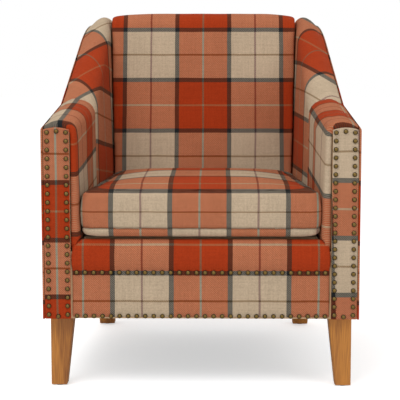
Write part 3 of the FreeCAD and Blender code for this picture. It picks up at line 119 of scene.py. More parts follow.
class Socket:
    """A node's output that can be used in arithmetic."""

    def __init__(self, graph, socket):
        self.graph = graph
        self.socket = socket

    def _do(self, operation, *others):
        return self.graph.math(operation, self, *others)

    def __add__(self, other):
        return self._do("ADD", other)

    def __sub__(self, other):
        return self._do("SUBTRACT", other)

    def __mul__(self, other):
        return self._do("MULTIPLY", other)

    def __truediv__(self, other):
        return self._do("DIVIDE", other)

    def __radd__(self, other):
        return self.graph.math("ADD", other, self)

    def __rsub__(self, other):
        return self.graph.math("SUBTRACT", other, self)

    def __rmul__(self, other):
        return self.graph.math("MULTIPLY", other, self)

    def __rtruediv__(self, other):
        return self.graph.math("DIVIDE", other, self)

    def floor(self):
        return self._do("FLOOR")

    def part(self):
        return self._do("FRACT")

    def size(self):
        return self._do("ABSOLUTE")

    def below(self, other):
        return self._do("LESS_THAN", other)

    def wave(self):
        return self._do("SINE")


class Graph:
    """A node tree and the one way nodes are added to it."""

    def __init__(self, tree):
        self.tree = tree

    def plug(self, target, value):
        if isinstance(value, Socket):
            self.tree.links.new(value.socket, target)
        else:
            target.default_value = value

    def node(self, kind, settings=None, **values):
        made = self.tree.nodes.new(kind)
        for key, value in (settings or {}).items():
            setattr(made, key, value)
        for key, value in values.items():
            self.plug(made.inputs[key.replace("_", " ")], value)
        return made

    def out(self, made, name=0):
        return Socket(self, made.outputs[name])

    def math(self, operation, *values):
        made = self.node("ShaderNodeMath", {"operation": operation})
        for target, value in zip(made.inputs, values):
            self.plug(target, value)
        return self.out(made)

    def mix(self, share, first, second):
        made = self.node("ShaderNodeMix", {"data_type": "RGBA"})
        for place, value in ((0, share), (6, first), (7, second)):
            self.plug(made.inputs[place], value)
        return self.out(made, 2)

    def scaled(self, colour, amount):
        made = self.node("ShaderNodeVectorMath", {"operation": "SCALE"}, Scale=amount)
        self.plug(made.inputs[0], colour if isinstance(colour, Socket) else colour[:3])
        return self.out(made)

    def square(self, colour):
        made = self.node("ShaderNodeVectorMath", {"operation": "MULTIPLY"})
        self.plug(made.inputs[0], colour)
        self.plug(made.inputs[1], colour)
        return self.out(made)

    def noise(self, place, scale, detail=2.0):
        made = self.node("ShaderNodeTexNoise", Vector=place, Scale=scale, Detail=detail)
        return self.out(made, "Fac")

    def axes(self, vector):
        made = self.node("ShaderNodeSeparateXYZ", Vector=vector)
        return [self.out(made, i) for i in range(3)]

    def vector(self, x, y, z):
        return self.out(self.node("ShaderNodeCombineXYZ", X=x, Y=y, Z=z))

    def place(self):
        return self.out(self.node("ShaderNodeTexCoord"), "Object")

    def bump(self, height, strength, distance):
        made = self.node("ShaderNodeBump", Strength=strength, Distance=distance, Height=height)
        return self.out(made, "Normal")


def colour(red, green, blue):
    """A colour written in display values of 0 to 255, as linear light."""
    made = []
    for value in (red, green, blue):
        share = value / 255
        made.append(share / 12.92 if share <= 0.04045 else ((share + 0.055) / 1.055) ** 2.4)
    return (*made, 1.0)


def yarn(red, green, blue):
    """The fourth root of a colour: yarns laid over each other mix towards the darker one."""
    return tuple(value ** 0.25 for value in colour(red, green, blue))


ORANGE = yarn(162, 55, 23)
CREAM = yarn(188, 167, 141)
DARK = yarn(34, 38, 40)
WARP_LINE_ON_ORANGE = yarn(104, 112, 100)
WARP_LINE_ON_CREAM = yarn(104, 76, 74)
WEFT_LINE_ON_ORANGE = yarn(150, 116, 86)
WEFT_LINE_ON_CREAM = yarn(108, 84, 56)
CALICO = colour(150, 128, 98)
BLACK = colour(34, 33, 33)
FOAM = colour(222, 206, 160)
WHITE = colour(255, 255, 255)


def new_material(name, **constants):
    """A material with its graph and its shader, whose constant inputs are set."""
    material = bpy.data.materials.new(name)
    material.use_nodes = True
    graph = Graph(material.node_tree)
    shader = material.node_tree.nodes["Principled BSDF"]
    for key, value in constants.items():
        shader.inputs[key.replace("_", " ")].default_value = value
    return material, graph, shader


def yarns(graph, along, band, line, orange_line, cream_line):
    """The colour of one set of threads: wide orange and cream stripes, each with a thin middle
    line, and a dark band wherever two of them meet."""
    odd = (along.floor() * 0.5).part() * 2.0
    middle = (along.part() - 0.5).size()
    ground = graph.mix(odd, ORANGE, CREAM)
    thin = graph.mix(odd, orange_line, cream_line)
    lined = graph.mix(middle.below(line), ground, thin)
    return graph.mix((0.5 - middle).below(band), lined, DARK)


def check_cloth(name, column_pitch, row_pitch, coordinates):
    """Check cloth whose coordinates count stripes: columns across and rows up."""
    cloth = bpy.context.scene.chair_cloth
    material, graph, shader = new_material(
        name, Sheen_Weight=0.06, Sheen_Roughness=0.5, Sheen_Tint=(1.0, 0.72, 0.42, 1.0),
        Specular_IOR_Level=0.04)
    across, up = coordinates(graph)
    place = graph.place()
    drift = graph.noise(place, 14.0) - 0.5
    across = across + drift * 0.018
    up = up + drift * 0.018
    warp = yarns(graph, across, cloth.band / column_pitch / 2, cloth.line / column_pitch / 2,
                 WARP_LINE_ON_ORANGE, WARP_LINE_ON_CREAM)
    weft = yarns(graph, up, cloth.band / row_pitch / 2, cloth.line / row_pitch / 2,
                 WEFT_LINE_ON_ORANGE, WEFT_LINE_ON_CREAM)
    ends = across * (column_pitch / cloth.thread)
    picks = up * (row_pitch / cloth.thread)
    # a two and two twill: the warp lies on top where the diagonal count is low
    diagonal = ((ends.floor() + picks.floor()) * 0.25).part()
    over = diagonal.below(0.5)
    end_round = (ends.part() * math.pi).wave()
    pick_round = (picks.part() * math.pi).wave()
    height = over * end_round + (1.0 - over) * pick_round
    base = graph.square(graph.square(graph.mix(0.36 + over * 0.28, weft, warp)))
    slub = graph.noise(graph.vector(ends.floor() * 0.37, picks.floor() * 0.37, 0.0), 3.0, 3.0)
    cloud = graph.noise(place, 9.0)
    long_ends = graph.noise(graph.vector(across * 34.0, up * 1.5, 0.0), 1.0, 3.0)
    long_picks = graph.noise(graph.vector(across * 1.5, up * 34.0, 4.0), 1.0, 3.0)
    fleck = graph.noise(place, 330.0, 1.0)
    # random tone of the yarns, with painted shade between the threads: the height term darkens the
    # cloth where the weave dips
    shade = 0.20 + slub * 0.36 + cloud * 0.16 + height * 0.12 + (long_ends + long_picks) * 0.26
    shade = shade + fleck * 0.40
    # painted shade: the cloth is darkened near the cushion's seams, standing in for the shadow in
    # their drawn-in line
    seam_shade = graph.out(graph.node("ShaderNodeAttribute", {"attribute_name": "seam_shade"}), "Fac")
    graph.plug(shader.inputs["Base Color"], graph.scaled(base, shade * (1.0 - seam_shade * 0.65)))
    graph.plug(shader.inputs["Roughness"], 0.86 + slub * 0.12)
    graph.plug(shader.inputs["Normal"], graph.bump(height + slub * 0.6, 0.55, 0.0005))
    return material


def laid_coordinates(graph):
    """The stripe counts that a piece carries in its own map."""
    made = graph.node("ShaderNodeUVMap", {"uv_map": "cloth"})
    return graph.axes(graph.out(made))[:2]


def side_coordinates(graph):
    """Stripe counts on the outside panels, by setback and height."""
    x, y, z = graph.axes(graph.place())
    return (y - FACING_FACE - SIDE_COLUMN) / STRIPE + 1.0, (z - SIDE_ROW) / STRIPE + 1.0


def rear_coordinates(graph):
    """Stripe counts on the outside back, by width and height."""
    x, y, z = graph.axes(graph.place())
    return x / STRIPE + 0.5, (z - SIDE_ROW) / STRIPE + 1.0


def timber(name, light, dark, polish, grain):
    """Timber whose grain runs up the piece."""
    material, graph, shader = new_material(name, IOR=1.5, Coat_Roughness=0.35, Coat_Weight=polish)
    x, y, z = graph.axes(graph.place())
    broad = graph.noise(graph.vector(x * 16.0, y * 16.0, z * 1.1), 3.0, 3.0)
    pores = graph.noise(graph.vector(x * 150.0, y * 150.0, z * 5.0), 4.0, 4.0)
    rings = ((x * 55.0 + y * 34.0 + broad * 9.0 + z * 1.5).wave() + 1.0) * 0.5
    share = rings * 0.45 * grain + (pores - 0.5) * 1.5 + 0.22
    graph.plug(shader.inputs["Base Color"], graph.mix(share, light, dark))
    graph.plug(shader.inputs["Roughness"], 0.42 + pores * 0.25)
    graph.plug(shader.inputs["Normal"], graph.bump(pores, 0.25, 0.0006))
    return material


def metal(name, bright, dull_and_shade, roughness, rim_shade):
    """Metal, dulled at random, and darkened with painted shade towards the edge of a head that faces
    forwards.
    """
    material, graph, shader = new_material(name, Specular_IOR_Level=0.5)
    spots = graph.noise(graph.place(), 420.0, 3.0)
    normal = graph.out(graph.node("ShaderNodeNewGeometry"), "Normal")
    facing = graph.axes(normal)[1].size()
    # random dulling, plus painted shade where the surface turns away from the front
    dulled_and_rim_shaded = spots * 0.55 + (1.0 - facing) * rim_shade
    graph.plug(shader.inputs["Base Color"], graph.mix(dulled_and_rim_shaded, bright, dull_and_shade))
    graph.plug(shader.inputs["Metallic"], 0.95 - dulled_and_rim_shaded * 0.25)
    graph.plug(shader.inputs["Roughness"], roughness + spots * 0.22)
    graph.plug(shader.inputs["Normal"], graph.bump(spots, 0.12, 0.0003))
    return material


def plain_cloth(name, ground, thread, fuzz):
    """A plain woven or felted cloth of one colour."""
    material, graph, shader = new_material(name, Sheen_Weight=fuzz, Specular_IOR_Level=0.15)
    place = graph.place()
    x, y, z = graph.axes(place)
    weave = (x * (math.tau / thread)).wave() * ((y + z) * (math.tau / thread)).wave()
    fibre = graph.noise(place, 260.0, 4.0)
    graph.plug(shader.inputs["Base Color"], graph.scaled(ground, 0.72 + fibre * 0.5 + weave * 0.08))
    graph.plug(shader.inputs["Roughness"], 0.80 + fibre * 0.18)
    graph.plug(shader.inputs["Normal"], graph.bump(weave + fibre, 0.5, 0.0005))
    return material


def moulding(name, ground, roughness):
    """A moulded or foamed material with a fine pitted face."""
    material, graph, shader = new_material(name, IOR=1.45)
    pits = graph.noise(graph.place(), 340.0, 4.0)
    graph.plug(shader.inputs["Base Color"], graph.scaled(ground, 0.82 + pits * 0.34))
    graph.plug(shader.inputs["Roughness"], roughness + pits * 0.2)
    graph.plug(shader.inputs["Normal"], graph.bump(pits, 0.3, 0.0005))
    return material


# Shapes

def in_scene(name, mesh):
    made = bpy.data.objects.new(name, mesh)
    bpy.context.scene.collection.objects.link(made)
    return made


def settled(piece):
    """The piece's evaluated mesh as its own plain mesh, with no modifier left on it."""
    bpy.context.view_layer.update()
    shaped = piece.evaluated_get(bpy.context.evaluated_depsgraph_get())
    mesh = bpy.data.meshes.new_from_object(shaped)
    piece.modifiers.clear()
    piece.data = mesh
    mesh.name = piece.name
    return piece


def islands(shape):
    """The connected groups of vertices of an editable mesh."""
    seen = set()
    groups = []
    for start in shape.verts:
        if start in seen:
            continue
        seen.add(start)
        group = [start]
        for vertex in group:
            for edge in vertex.link_edges:
                other = edge.other_vert(vertex)
                if other not in seen:
                    seen.add(other)
                    group.append(other)
        groups.append(group)
    return groups


def merged_copy(node):
    """An editable copy of a frame node's mesh with its loose triangles joined up."""
    shape = bmesh.new()
    shape.from_mesh(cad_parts[node].data)
    bmesh.ops.remove_doubles(shape, verts=shape.verts[:], dist=1e-5)
    return shape


def span(group):
    """The lowest and highest corner of a group of vertices."""
    places = np.array([vertex.co for vertex in group])
    return places.min(0), places.max(0)


def outer_skin(shape):
    """Leaves only the largest shell of an editable mesh."""
    groups = islands(shape)
    sizes = [float(np.prod(high - low)) for low, high in map(span, groups)]
    for group, size in zip(groups, sizes):
        if size < max(sizes):
            bmesh.ops.delete(shape, geom=group, context="VERTS")


def soft_copy(node, name, voxel, steps):
    """A padded copy of a frame node: evenly meshed, with its edges eased."""
    shape = merged_copy(node)
    outer_skin(shape)
    mesh = bpy.data.meshes.new(name)
    shape.to_mesh(mesh)
    shape.free()
    mesh.materials.clear()
    piece = in_scene(name, mesh)
    remesh = piece.modifiers.new("Even mesh", "REMESH")
    remesh.mode = "VOXEL"
    remesh.voxel_size = voxel * 1.0
    remesh.use_smooth_shade = True
    ease = piece.modifiers.new("Eased edges", "SMOOTH")
    ease.factor = 0.5
    ease.iterations = steps
    return settled(piece)


def points(mesh):
    flat = np.empty(len(mesh.vertices) * 3)
    mesh.vertices.foreach_get("co", flat)
    return flat.reshape(-1, 3)


def set_points(mesh, places):
    mesh.vertices.foreach_set("co", np.ascontiguousarray(places, float).ravel())
    mesh.update()


def normals(mesh):
    flat = np.empty(len(mesh.vertices) * 3, np.float32)
    mesh.vertex_normals.foreach_get("vector", flat)
    return flat.reshape(-1, 3)


def ripple(piece, depth, length, seed):
    """Slight unevenness of hand-laid padding; the form only sinks, so it stays in its room."""
    places = points(piece.data)
    uneven = np.array([noise.noise(Vector(p) / length + Vector((seed, 0, 0))) for p in places])
    shift = -depth * (0.5 + 0.5 * np.clip(uneven * 1.6, -1, 1))
    set_points(piece.data, places + normals(piece.data) * shift[:, None])


def lay_cloth(piece, rule):
    """Writes the stripe counts of a rule to each face corner of a piece."""
    mesh = piece.data
    at = np.empty(len(mesh.loops), np.int32)
    mesh.loops.foreach_get("vertex_index", at)
    count = np.empty(len(mesh.polygons), np.int32)
    mesh.polygons.foreach_get("loop_total", count)
    normal = np.empty(len(mesh.polygons) * 3, np.float32)
    mesh.polygons.foreach_get("normal", normal)
    centre = np.empty(len(mesh.polygons) * 3, np.float32)
    mesh.polygons.foreach_get("center", centre)
    across, up = rule(points(mesh)[at], np.repeat(normal.reshape(-1, 3), count, axis=0),
                      np.repeat(centre.reshape(-1, 3), count, axis=0))
    layer = mesh.uv_layers.new(name="cloth")
    layer.data.foreach_set("uv", np.stack([across, up], 1).astype(np.float32).ravel())


def press_behind(piece, node, gap):
    """Presses a piece in behind a node at its rear, so that the node stands clear in its channel."""
    low, high = (np.array(corner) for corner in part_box(node))
    places = points(piece.data)
    inside = (places[:, [0, 2]] > low[[0, 2]] - gap) & (places[:, [0, 2]] < high[[0, 2]] + gap)
    behind = inside.all(1) & (places[:, 1] > low[1] - gap)
    places[behind, 1] = low[1] - gap
    set_points(piece.data, places)


def mark_seam_shade(piece, away):
    """Stores how near each vertex is to the seams, from the distances to them; the cloth shader
    darkens the cloth there as painted shade.
    """
    near = np.clip(1.0 - away / SEAM_WIDTH, 0, 1)
    made = piece.data.attributes.new("seam_shade", "FLOAT", "POINT")
    made.data.foreach_set("value", near.astype(np.float32))


def finish_piece(piece, body, material, nodes):
    """Gives a piece its cloth and its place on the frame."""
    piece.data.materials.clear()
    piece.data.materials.append(material)
    piece.data.polygons.foreach_set("use_smooth", [True] * len(piece.data.polygons))
    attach(piece, body)
    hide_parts(*nodes)
    return piece


# The side outline

def setback(places):
    return places[:, 1] - FACING_FACE


def between(d, values, marks=(0.0, SEAM_SETBACK, REAR_SETBACK)):
    return np.interp(d, marks, values)


def arm_girth(places):
    """Distance over an arm from its outer top edge, across the cap and down the inner face."""
    d = setback(places)
    half = np.abs(places[:, 0])
    shoulder = between(d, (SHOULDER_FRONT, SHOULDER_SEAM, SHOULDER_REAR))
    roll = between(d, (ROLL_FRONT, ROLL_SEAM), (0.0, SEAM_SETBACK))
    drop = roll * ROLL_DROP
    below = between(d, (CAP_FRONT, CAP_SEAM), (0.0, SEAM_SETBACK)) - places[:, 2]
    outer = OUTER_HALF - OUTER_TAPER * d
    into = np.clip(shoulder + roll - half, 0, None)
    turn = np.clip(np.arctan2(into / roll, 1 - below / drop), 0, math.pi / 2)
    bent = (outer - shoulder - roll) + turn * (roll + drop) / 2 + np.clip(below - drop, 0, None)
    return np.where(half > shoulder + roll, outer - half, bent)


def stripes(along, first, edges):
    """Stripe counts where each edge lies at its own place with its own half width; the count
    crosses a whole number at each edge, so a narrow edge leaves only a thin line."""
    count = first - BAND_SHARE / 2 - np.clip(edges[0][0] - along, 0, None) / STRIPE
    for (start, start_half), (end, end_half) in zip(edges, edges[1:]):
        room = end - start - start_half - end_half
        count = count + (1 - BAND_SHARE) * np.clip((along - start - start_half) / room, 0, 1)
    for edge, half in edges:
        count = count + BAND_SHARE * np.clip((along - edge + half) / (2 * half), 0, 1)
    return count


def down_the_side(girth):
    """0 on an arm's cap, 1 on its inner face."""
    return np.clip((girth - CAP_GIRTH) / TURN_GIRTH, 0, 1)


def arm_stripes(places, edges, row, row_girth, pitch):
    """Columns across an arm, and rows round it that are counted down from a given girth."""
    girth = arm_girth(places)
    down = down_the_side(girth)
    laid = [(cap + shift * down, half) for cap, shift, half in edges]
    return stripes(setback(places), -1.0, laid), row - (girth - row_girth) / pitch


def left_arm(places, facing, centre):
    return arm_stripes(places, LEFT_ARM_EDGES, LEFT_ARM_ROW, LEFT_ARM_GIRTH, LEFT_ARM_PITCH)


def right_arm(places, facing, centre):
    return arm_stripes(places, RIGHT_ARM_EDGES, RIGHT_ARM_ROW, RIGHT_ARM_GIRTH, RIGHT_ARM_PITCH)


def wing_reach(places):
    """How far outwards of the shoulder a place lies."""
    shoulder = between(setback(places), (SHOULDER_FRONT, SHOULDER_SEAM, SHOULDER_REAR))
    return np.clip(np.abs(places[:, 0]) - shoulder, 0, None)


def left_wing(places, facing, centre):
    d, reach = setback(places), wing_reach(places)
    columns = LEFT_WING_COLUMN + d / LEFT_WING_COLUMN_PITCH - reach * LEFT_WING_COLUMN_LEAN
    rows = (places[:, 2] - LEFT_WING_ROW) / LEFT_WING_ROW_PITCH + reach * LEFT_WING_ROW_LEAN
    return columns, rows + (d - LEFT_WING_LEVEL) * LEFT_WING_ROW_RISE


def right_wing(places, facing, centre):
    d, reach = setback(places), wing_reach(places)
    columns = RIGHT_WING_COLUMN + d / RIGHT_WING_COLUMN_PITCH - reach * RIGHT_WING_COLUMN_LEAN
    rows = (places[:, 2] - RIGHT_WING_ROW) / RIGHT_WING_ROW_PITCH + reach * RIGHT_WING_ROW_LEAN
    return columns, rows


def left_facing(places, facing, centre):
    x, z = places[:, 0], places[:, 2]
    return (x - LEFT_FACING_MIDDLE) / STRIPE + 0.5, (z - LEFT_FACING_ROW) / FACING_PITCH + 1.0


def right_facing(places, facing, centre):
    x, z = places[:, 0], places[:, 2]
    lean = (z - RIGHT_FACING_LEVEL) * RIGHT_FACING_LEAN
    return ((x - RIGHT_FACING_COLUMN + lean) / STRIPE + 1.0,
            (z - RIGHT_FACING_ROW) / FACING_PITCH + 1.0)


def inside_back(places, facing, centre):
    x, z = places[:, 0], places[:, 2]
    return (x - BACK_COLUMN) / BACK_COLUMN_PITCH, (z - BACK_ROW) / BACK_ROW_PITCH


def border(places, facing, centre):
    x, z = places[:, 0], places[:, 2]
    return (x - BORDER_COLUMN) / BORDER_COLUMN_PITCH, (z - BORDER_ROW) / BORDER_ROW_PITCH


def cushion(places, facing, centre):
    """Columns run over the top and down the boxing; the foot strip is cut one stripe over."""
    x, z, d = places[:, 0], places[:, 2], setback(places)
    top = centre[:, 2] > CUSHION_TOP_SEAM
    foot = centre[:, 2] < CUSHION_FOOT_SEAM
    rear = facing[:, 1] > 0.7
    round_corner = np.sign(x) * (np.abs(x) + np.clip(d - CUSHION_CORNER, 0, None))
    across = (np.where(top | foot | rear, x, round_corner) - CUSHION_COLUMN) / CUSHION_COLUMN_PITCH
    last = CUSHION_TOP_START + CUSHION_TOP_PITCH
    marks = (CUSHION_FRONT, last, last + 3 * CUSHION_TOP_PITCH)
    lying = np.interp(d, marks, (CUSHION_FRONT_ROW, 1.0, 4.0))
    strip = CUSHION_FOOT_ROW + (z - CUSHION_FOOT_SEAM) * CUSHION_FOOT_RATE
    standing = np.where(foot, strip, (z - CUSHION_ROW) / CUSHION_ROW_PITCH)
    return across + foot, np.where(top, lying, standing)


# Settings

class ClothSettings(bpy.types.PropertyGroup):
    """Sizes of the check and of the padding under it."""
    stripe: FloatProperty(name="Stripe pitch", description="From one dark band to the next",
                          default=STRIPE, unit="LENGTH")
    band: FloatProperty(name="Dark band", description="Width of a dark band", default=0.0108,
                        unit="LENGTH")
    line: FloatProperty(name="Thin line", description="Width of the line along a stripe's middle",
                        default=0.0046, unit="LENGTH")
    thread: FloatProperty(name="Thread", description="Spacing of the threads", default=0.0012,
                          unit="LENGTH")
    voxel: FloatProperty(name="Padding mesh", description="Size of the padding's mesh",
                         default=0.0045, unit="LENGTH")
    ripple: FloatProperty(name="Unevenness", description="Depth of the padding's unevenness",
                          default=0.0012, unit="LENGTH")


class CushionSettings(bpy.types.PropertyGroup):
    """The loose seat cushion."""
    pressure: FloatProperty(name="Filling pressure", description="Pressure inside the cover",
                            default=4.0)
    frames: IntProperty(name="Frames", description="Length of the filling's settling", default=20)
    spread: FloatProperty(name="Spread", description="Furthest the cover moves to a side",
                          default=0.0025, unit="LENGTH")
    swell: FloatProperty(name="Swell", description="How far the front of the boxing swells aside",
                         default=0.0045, unit="LENGTH")
    squeeze: FloatProperty(name="Squeeze", description="How far the cover draws the foam in",
                           default=0.004, unit="LENGTH")
    rise: FloatProperty(name="Rise", description="Furthest the cover moves up",
                        default=0.0008, unit="LENGTH")
    channel_gap: FloatProperty(name="Channel gap", description="Room left round the zip",
                               default=0.0005, unit="LENGTH")


class NailSettings(bpy.types.PropertyGroup):
    """The domed upholstery nails."""
    width: FloatProperty(name="Head width", description="Width of a nail's head", default=0.0112,
                         unit="LENGTH")
    height: FloatProperty(name="Head height", description="Height of a nail's dome", default=0.0035,
                          unit="LENGTH")
    tilt: FloatProperty(name="Tilt", description="Furthest a head leans", default=0.10,
                        subtype="ANGLE")
    seed: IntProperty(name="Seed", description="Picks how the heads lean", default=7)


class StageSettings(bpy.types.PropertyGroup):
    """Light and camera."""
    sky: FloatProperty(name="Sky", description="Strength of the even light", default=0.60)
    key: FloatProperty(name="Key light", description="Power of the front light", default=70.0,
                       unit="POWER")
    fill: FloatProperty(name="Fill light", description="Power of the other light", default=20.0,
                        unit="POWER")
    lens: FloatProperty(name="Lens", description="Focal length", default=120.08,
                        subtype="DISTANCE_CAMERA")


# Operators

class CHAIR_OT_inside_back(bpy.types.Operator):
    """Covers the inside back"""
    bl_idname = "chair.inside_back"
    bl_label = "Inside back"

    def execute(self, context):
        cloth = context.scene.chair_cloth
        piece = soft_copy("inside_back", "inside_back_cloth", cloth.voxel, steps=14)
        self.ease_corners(piece)
        ripple(piece, cloth.ripple, length=0.07, seed=3)
        lay_cloth(piece, inside_back)
        material = check_cloth("check_cloth_back", BACK_COLUMN_PITCH, BACK_ROW_PITCH, laid_coordinates)
        finish_piece(piece, "chair", material, ["inside_back"])
        return {"FINISHED"}

    def ease_corners(self, piece):
        """Lets the top edge fall away a little towards its two ends."""
        places = points(piece.data)
        high = np.clip((places[:, 2] - END_START) / END_RUN, 0, 1)
        places[:, 2] -= END_FALL * high * (np.abs(places[:, 0]) / END_HALF) ** 6
        set_points(piece.data, places)


class CHAIR_OT_arms(bpy.types.Operator):
    """Covers the arms"""
    bl_idname = "chair.arms"
    bl_label = "Arms"

    def execute(self, context):
        cloth = context.scene.chair_cloth
        material = check_cloth("check_cloth_arms", 0.119, cloth.stripe, laid_coordinates)
        for side, rule in (("left", left_arm), ("right", right_arm)):
            piece = soft_copy(f"arm_pad_{side}", f"arm_cloth_{side}", cloth.voxel, steps=4)
            ripple(piece, cloth.ripple, length=0.06, seed=11)
            lay_cloth(piece, rule)
            finish_piece(piece, "chair", material, [f"arm_pad_{side}"])
        return {"FINISHED"}


class CHAIR_OT_wings(bpy.types.Operator):
    """Covers the wings"""
    bl_idname = "chair.wings"
    bl_label = "Wings"

    def execute(self, context):
        cloth = context.scene.chair_cloth
        material = check_cloth("check_cloth_wings", 0.20, cloth.stripe, laid_coordinates)
        for side, rule in (("left", left_wing), ("right", right_wing)):
            piece = soft_copy(f"wing_pad_{side}", f"wing_cloth_{side}", cloth.voxel, steps=4)
            ripple(piece, cloth.ripple, length=0.06, seed=17)
            lay_cloth(piece, rule)
            finish_piece(piece, "chair", material, [f"wing_pad_{side}"])
        return {"FINISHED"}


class CHAIR_OT_border(bpy.types.Operator):
    """Covers the front border and the arm facings"""
    bl_idname = "chair.border"
    bl_label = "Border and facings"

    def execute(self, context):
        cloth = context.scene.chair_cloth
        material = check_cloth("check_cloth_front", 0.130, 0.127, laid_coordinates)
        piece = soft_copy("front_border", "border_cloth", cloth.voxel, steps=4)
        ripple(piece, cloth.ripple * 0.6, length=0.06, seed=23)
        lay_cloth(piece, border)
        finish_piece(piece, "chair", material, ["front_border"])
        for side, rule in (("left", left_facing), ("right", right_facing)):
            piece = soft_copy(f"arm_facing_{side}", f"facing_cloth_{side}", voxel=0.002, steps=4)
            ripple(piece, depth=0.0004, length=0.03, seed=29)
            lay_cloth(piece, rule)
            finish_piece(piece, "chair", material, [f"arm_facing_{side}"])
        return {"FINISHED"}


class CHAIR_OT_cushion(bpy.types.Operator):
    """Makes the loose seat cushion, filled and sewn"""
    bl_idname = "chair.cushion"
    bl_label = "Seat cushion"

    def execute(self, context):
        sizes = context.scene.chair_cushion
        piece = soft_copy("cushion_cover", "cushion_cloth", voxel=0.0055, steps=3)
        self.fill(context, piece, sizes)
        halve = piece.modifiers.new("Finer mesh", "SUBSURF")
        halve.levels = halve.render_levels = 1
        settled(piece)
        self.sew(piece)
        press_behind(piece, "cushion_zip", sizes.channel_gap)
        lay_cloth(piece, cushion)
        material = check_cloth("check_cloth_cushion", 0.130, 0.130, laid_coordinates)
        finish_piece(piece, "cushion", material, ["cushion_cover"])
        foam = soft_copy("cushion_core", "cushion_foam", voxel=0.006, steps=2)
        set_points(foam.data, points(foam.data) - normals(foam.data) * sizes.squeeze)
        press_behind(foam, "cushion_zip", sizes.channel_gap + sizes.squeeze)
        soft = moulding("foam_cushion", FOAM, roughness=0.75)
        finish_piece(foam, "cushion", soft, ["cushion_core"])
        return {"FINISHED"}

    def fill(self, context, piece, sizes):
        """Lets the cover settle under its filling, and holds it to the room it has."""
        start = points(piece.data)
        outward = normals(piece.data)
        modifier = piece.modifiers.new("Filling", "CLOTH")
        modifier.settings.quality = 5
        modifier.settings.mass = 0.3
        modifier.settings.use_pressure = True
        modifier.settings.uniform_pressure_force = sizes.pressure
        modifier.settings.effector_weights.gravity = 0.0
        modifier.point_cache.frame_start = 1
        modifier.point_cache.frame_end = sizes.frames
        for step in range(1, sizes.frames + 1):
            context.scene.frame_set(step)
        settled(piece)
        context.scene.frame_set(1)
        move = points(piece.data) - start
        along = (move * outward).sum(1)
        aside = move - outward * along[:, None]
        reach = np.linalg.norm(aside, axis=1)
        aside *= (np.minimum(reach, sizes.spread) / np.maximum(reach, 1e-9))[:, None]
        room = sizes.spread + (sizes.rise - sizes.spread) * np.abs(outward[:, 2])
        along = np.clip(along, 0.0, room)
        settled_at = start + aside + outward * along[:, None]
        # the boxing swells towards the front, where the arms stand further apart
        ahead = np.clip(1 - setback(start) / SWELL_SETBACK, 0, 1)
        beside = np.clip((np.abs(start[:, 0]) - SWELL_START) / SWELL_RUN, 0, 1)
        settled_at[:, 0] += np.sign(start[:, 0]) * sizes.swell * (ahead * beside)
        set_points(piece.data, settled_at)

    def sew(self, piece):
        """Draws the cover in along its two seams, with small puckers."""
        places = points(piece.data)
        outward = normals(piece.data)
        around = places[:, 0] + places[:, 1]
        edge = np.hypot(outward[:, 0], outward[:, 1]) > 0.25
        top = np.abs(places[:, 2] - CUSHION_TOP_SEAM)
        foot = np.abs(places[:, 2] - CUSHION_FOOT_SEAM)
        away = np.where(edge, np.minimum(top, foot), 1.0)
        pull = SEAM_DEPTH * np.exp(-((away / SEAM_WIDTH) ** 2))
        pucker = PUCKER_DEPTH * np.exp(-((away / PUCKER_WIDTH) ** 2)) * np.sin(around * PUCKER_RATE)
        set_points(piece.data, places - outward * (pull + pucker)[:, None])
        # the mask of the painted shade along the seams
        mark_seam_shade(piece, away)


class CHAIR_OT_seat_deck(bpy.types.Operator):
    """Covers the deck under the cushion and the underside"""
    bl_idname = "chair.seat_deck"
    bl_label = "Deck and dust cover"

    def execute(self, context):
        deck = soft_copy("seat_deck", "deck_cloth_pad", voxel=0.006, steps=3)
        material = plain_cloth("deck_cloth_new", CALICO, thread=0.0016, fuzz=0.2)
        finish_piece(deck, "chair", material, ["seat_deck"])
        self.underside()
        return {"FINISHED"}

    def underside(self):
        """The dust cover, drawn tight across the frame's foot."""
        places = points(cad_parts["dust_cover"].data)
        low, high = places.min(0), places.max(0)
        near = 0.002
        front = np.abs(places[places[:, 1] < low[1] + near][:, 0]).max()
        rear = np.abs(places[places[:, 1] > high[1] - near][:, 0]).max()
        shape = bmesh.new()
        steps = 24
        lift, thickness = 0.0001, 0.0010
        layers = []
        for height in (low[2] + lift, low[2] + lift + thickness):
            rows = []
            for j in range(steps + 1):
                half = front + (rear - front) * j / steps
                y = low[1] + (high[1] - low[1]) * j / steps
                across = [half * (2 * i / steps - 1) for i in range(steps + 1)]
                rows.append([shape.verts.new((x, y, height)) for x in across])
            layers.append(rows)
        under, over = layers
        for j in range(steps):
            for i in range(steps):
                shape.faces.new([under[j][i], under[j + 1][i], under[j + 1][i + 1], under[j][i + 1]])
                shape.faces.new([over[j][i], over[j][i + 1], over[j + 1][i + 1], over[j + 1][i]])
        for i in range(steps):
            for a, b in (((0, i + 1), (0, i)), ((steps, i), (steps, i + 1)),
                         ((i, 0), (i + 1, 0)), ((i + 1, steps), (i, steps))):
                ring = (under[a[0]][a[1]], under[b[0]][b[1]], over[b[0]][b[1]], over[a[0]][a[1]])
                shape.faces.new(ring)
        bmesh.ops.recalc_face_normals(shape, faces=shape.faces[:])
        mesh = bpy.data.meshes.new("dust_cover_cloth")
        shape.to_mesh(mesh)
        shape.free()
        piece = in_scene("dust_cover_cloth", mesh)
        material = plain_cloth("black_cloth_new", BLACK, thread=0.0009, fuzz=0.1)
        finish_piece(piece, "chair", material, ["dust_cover"])


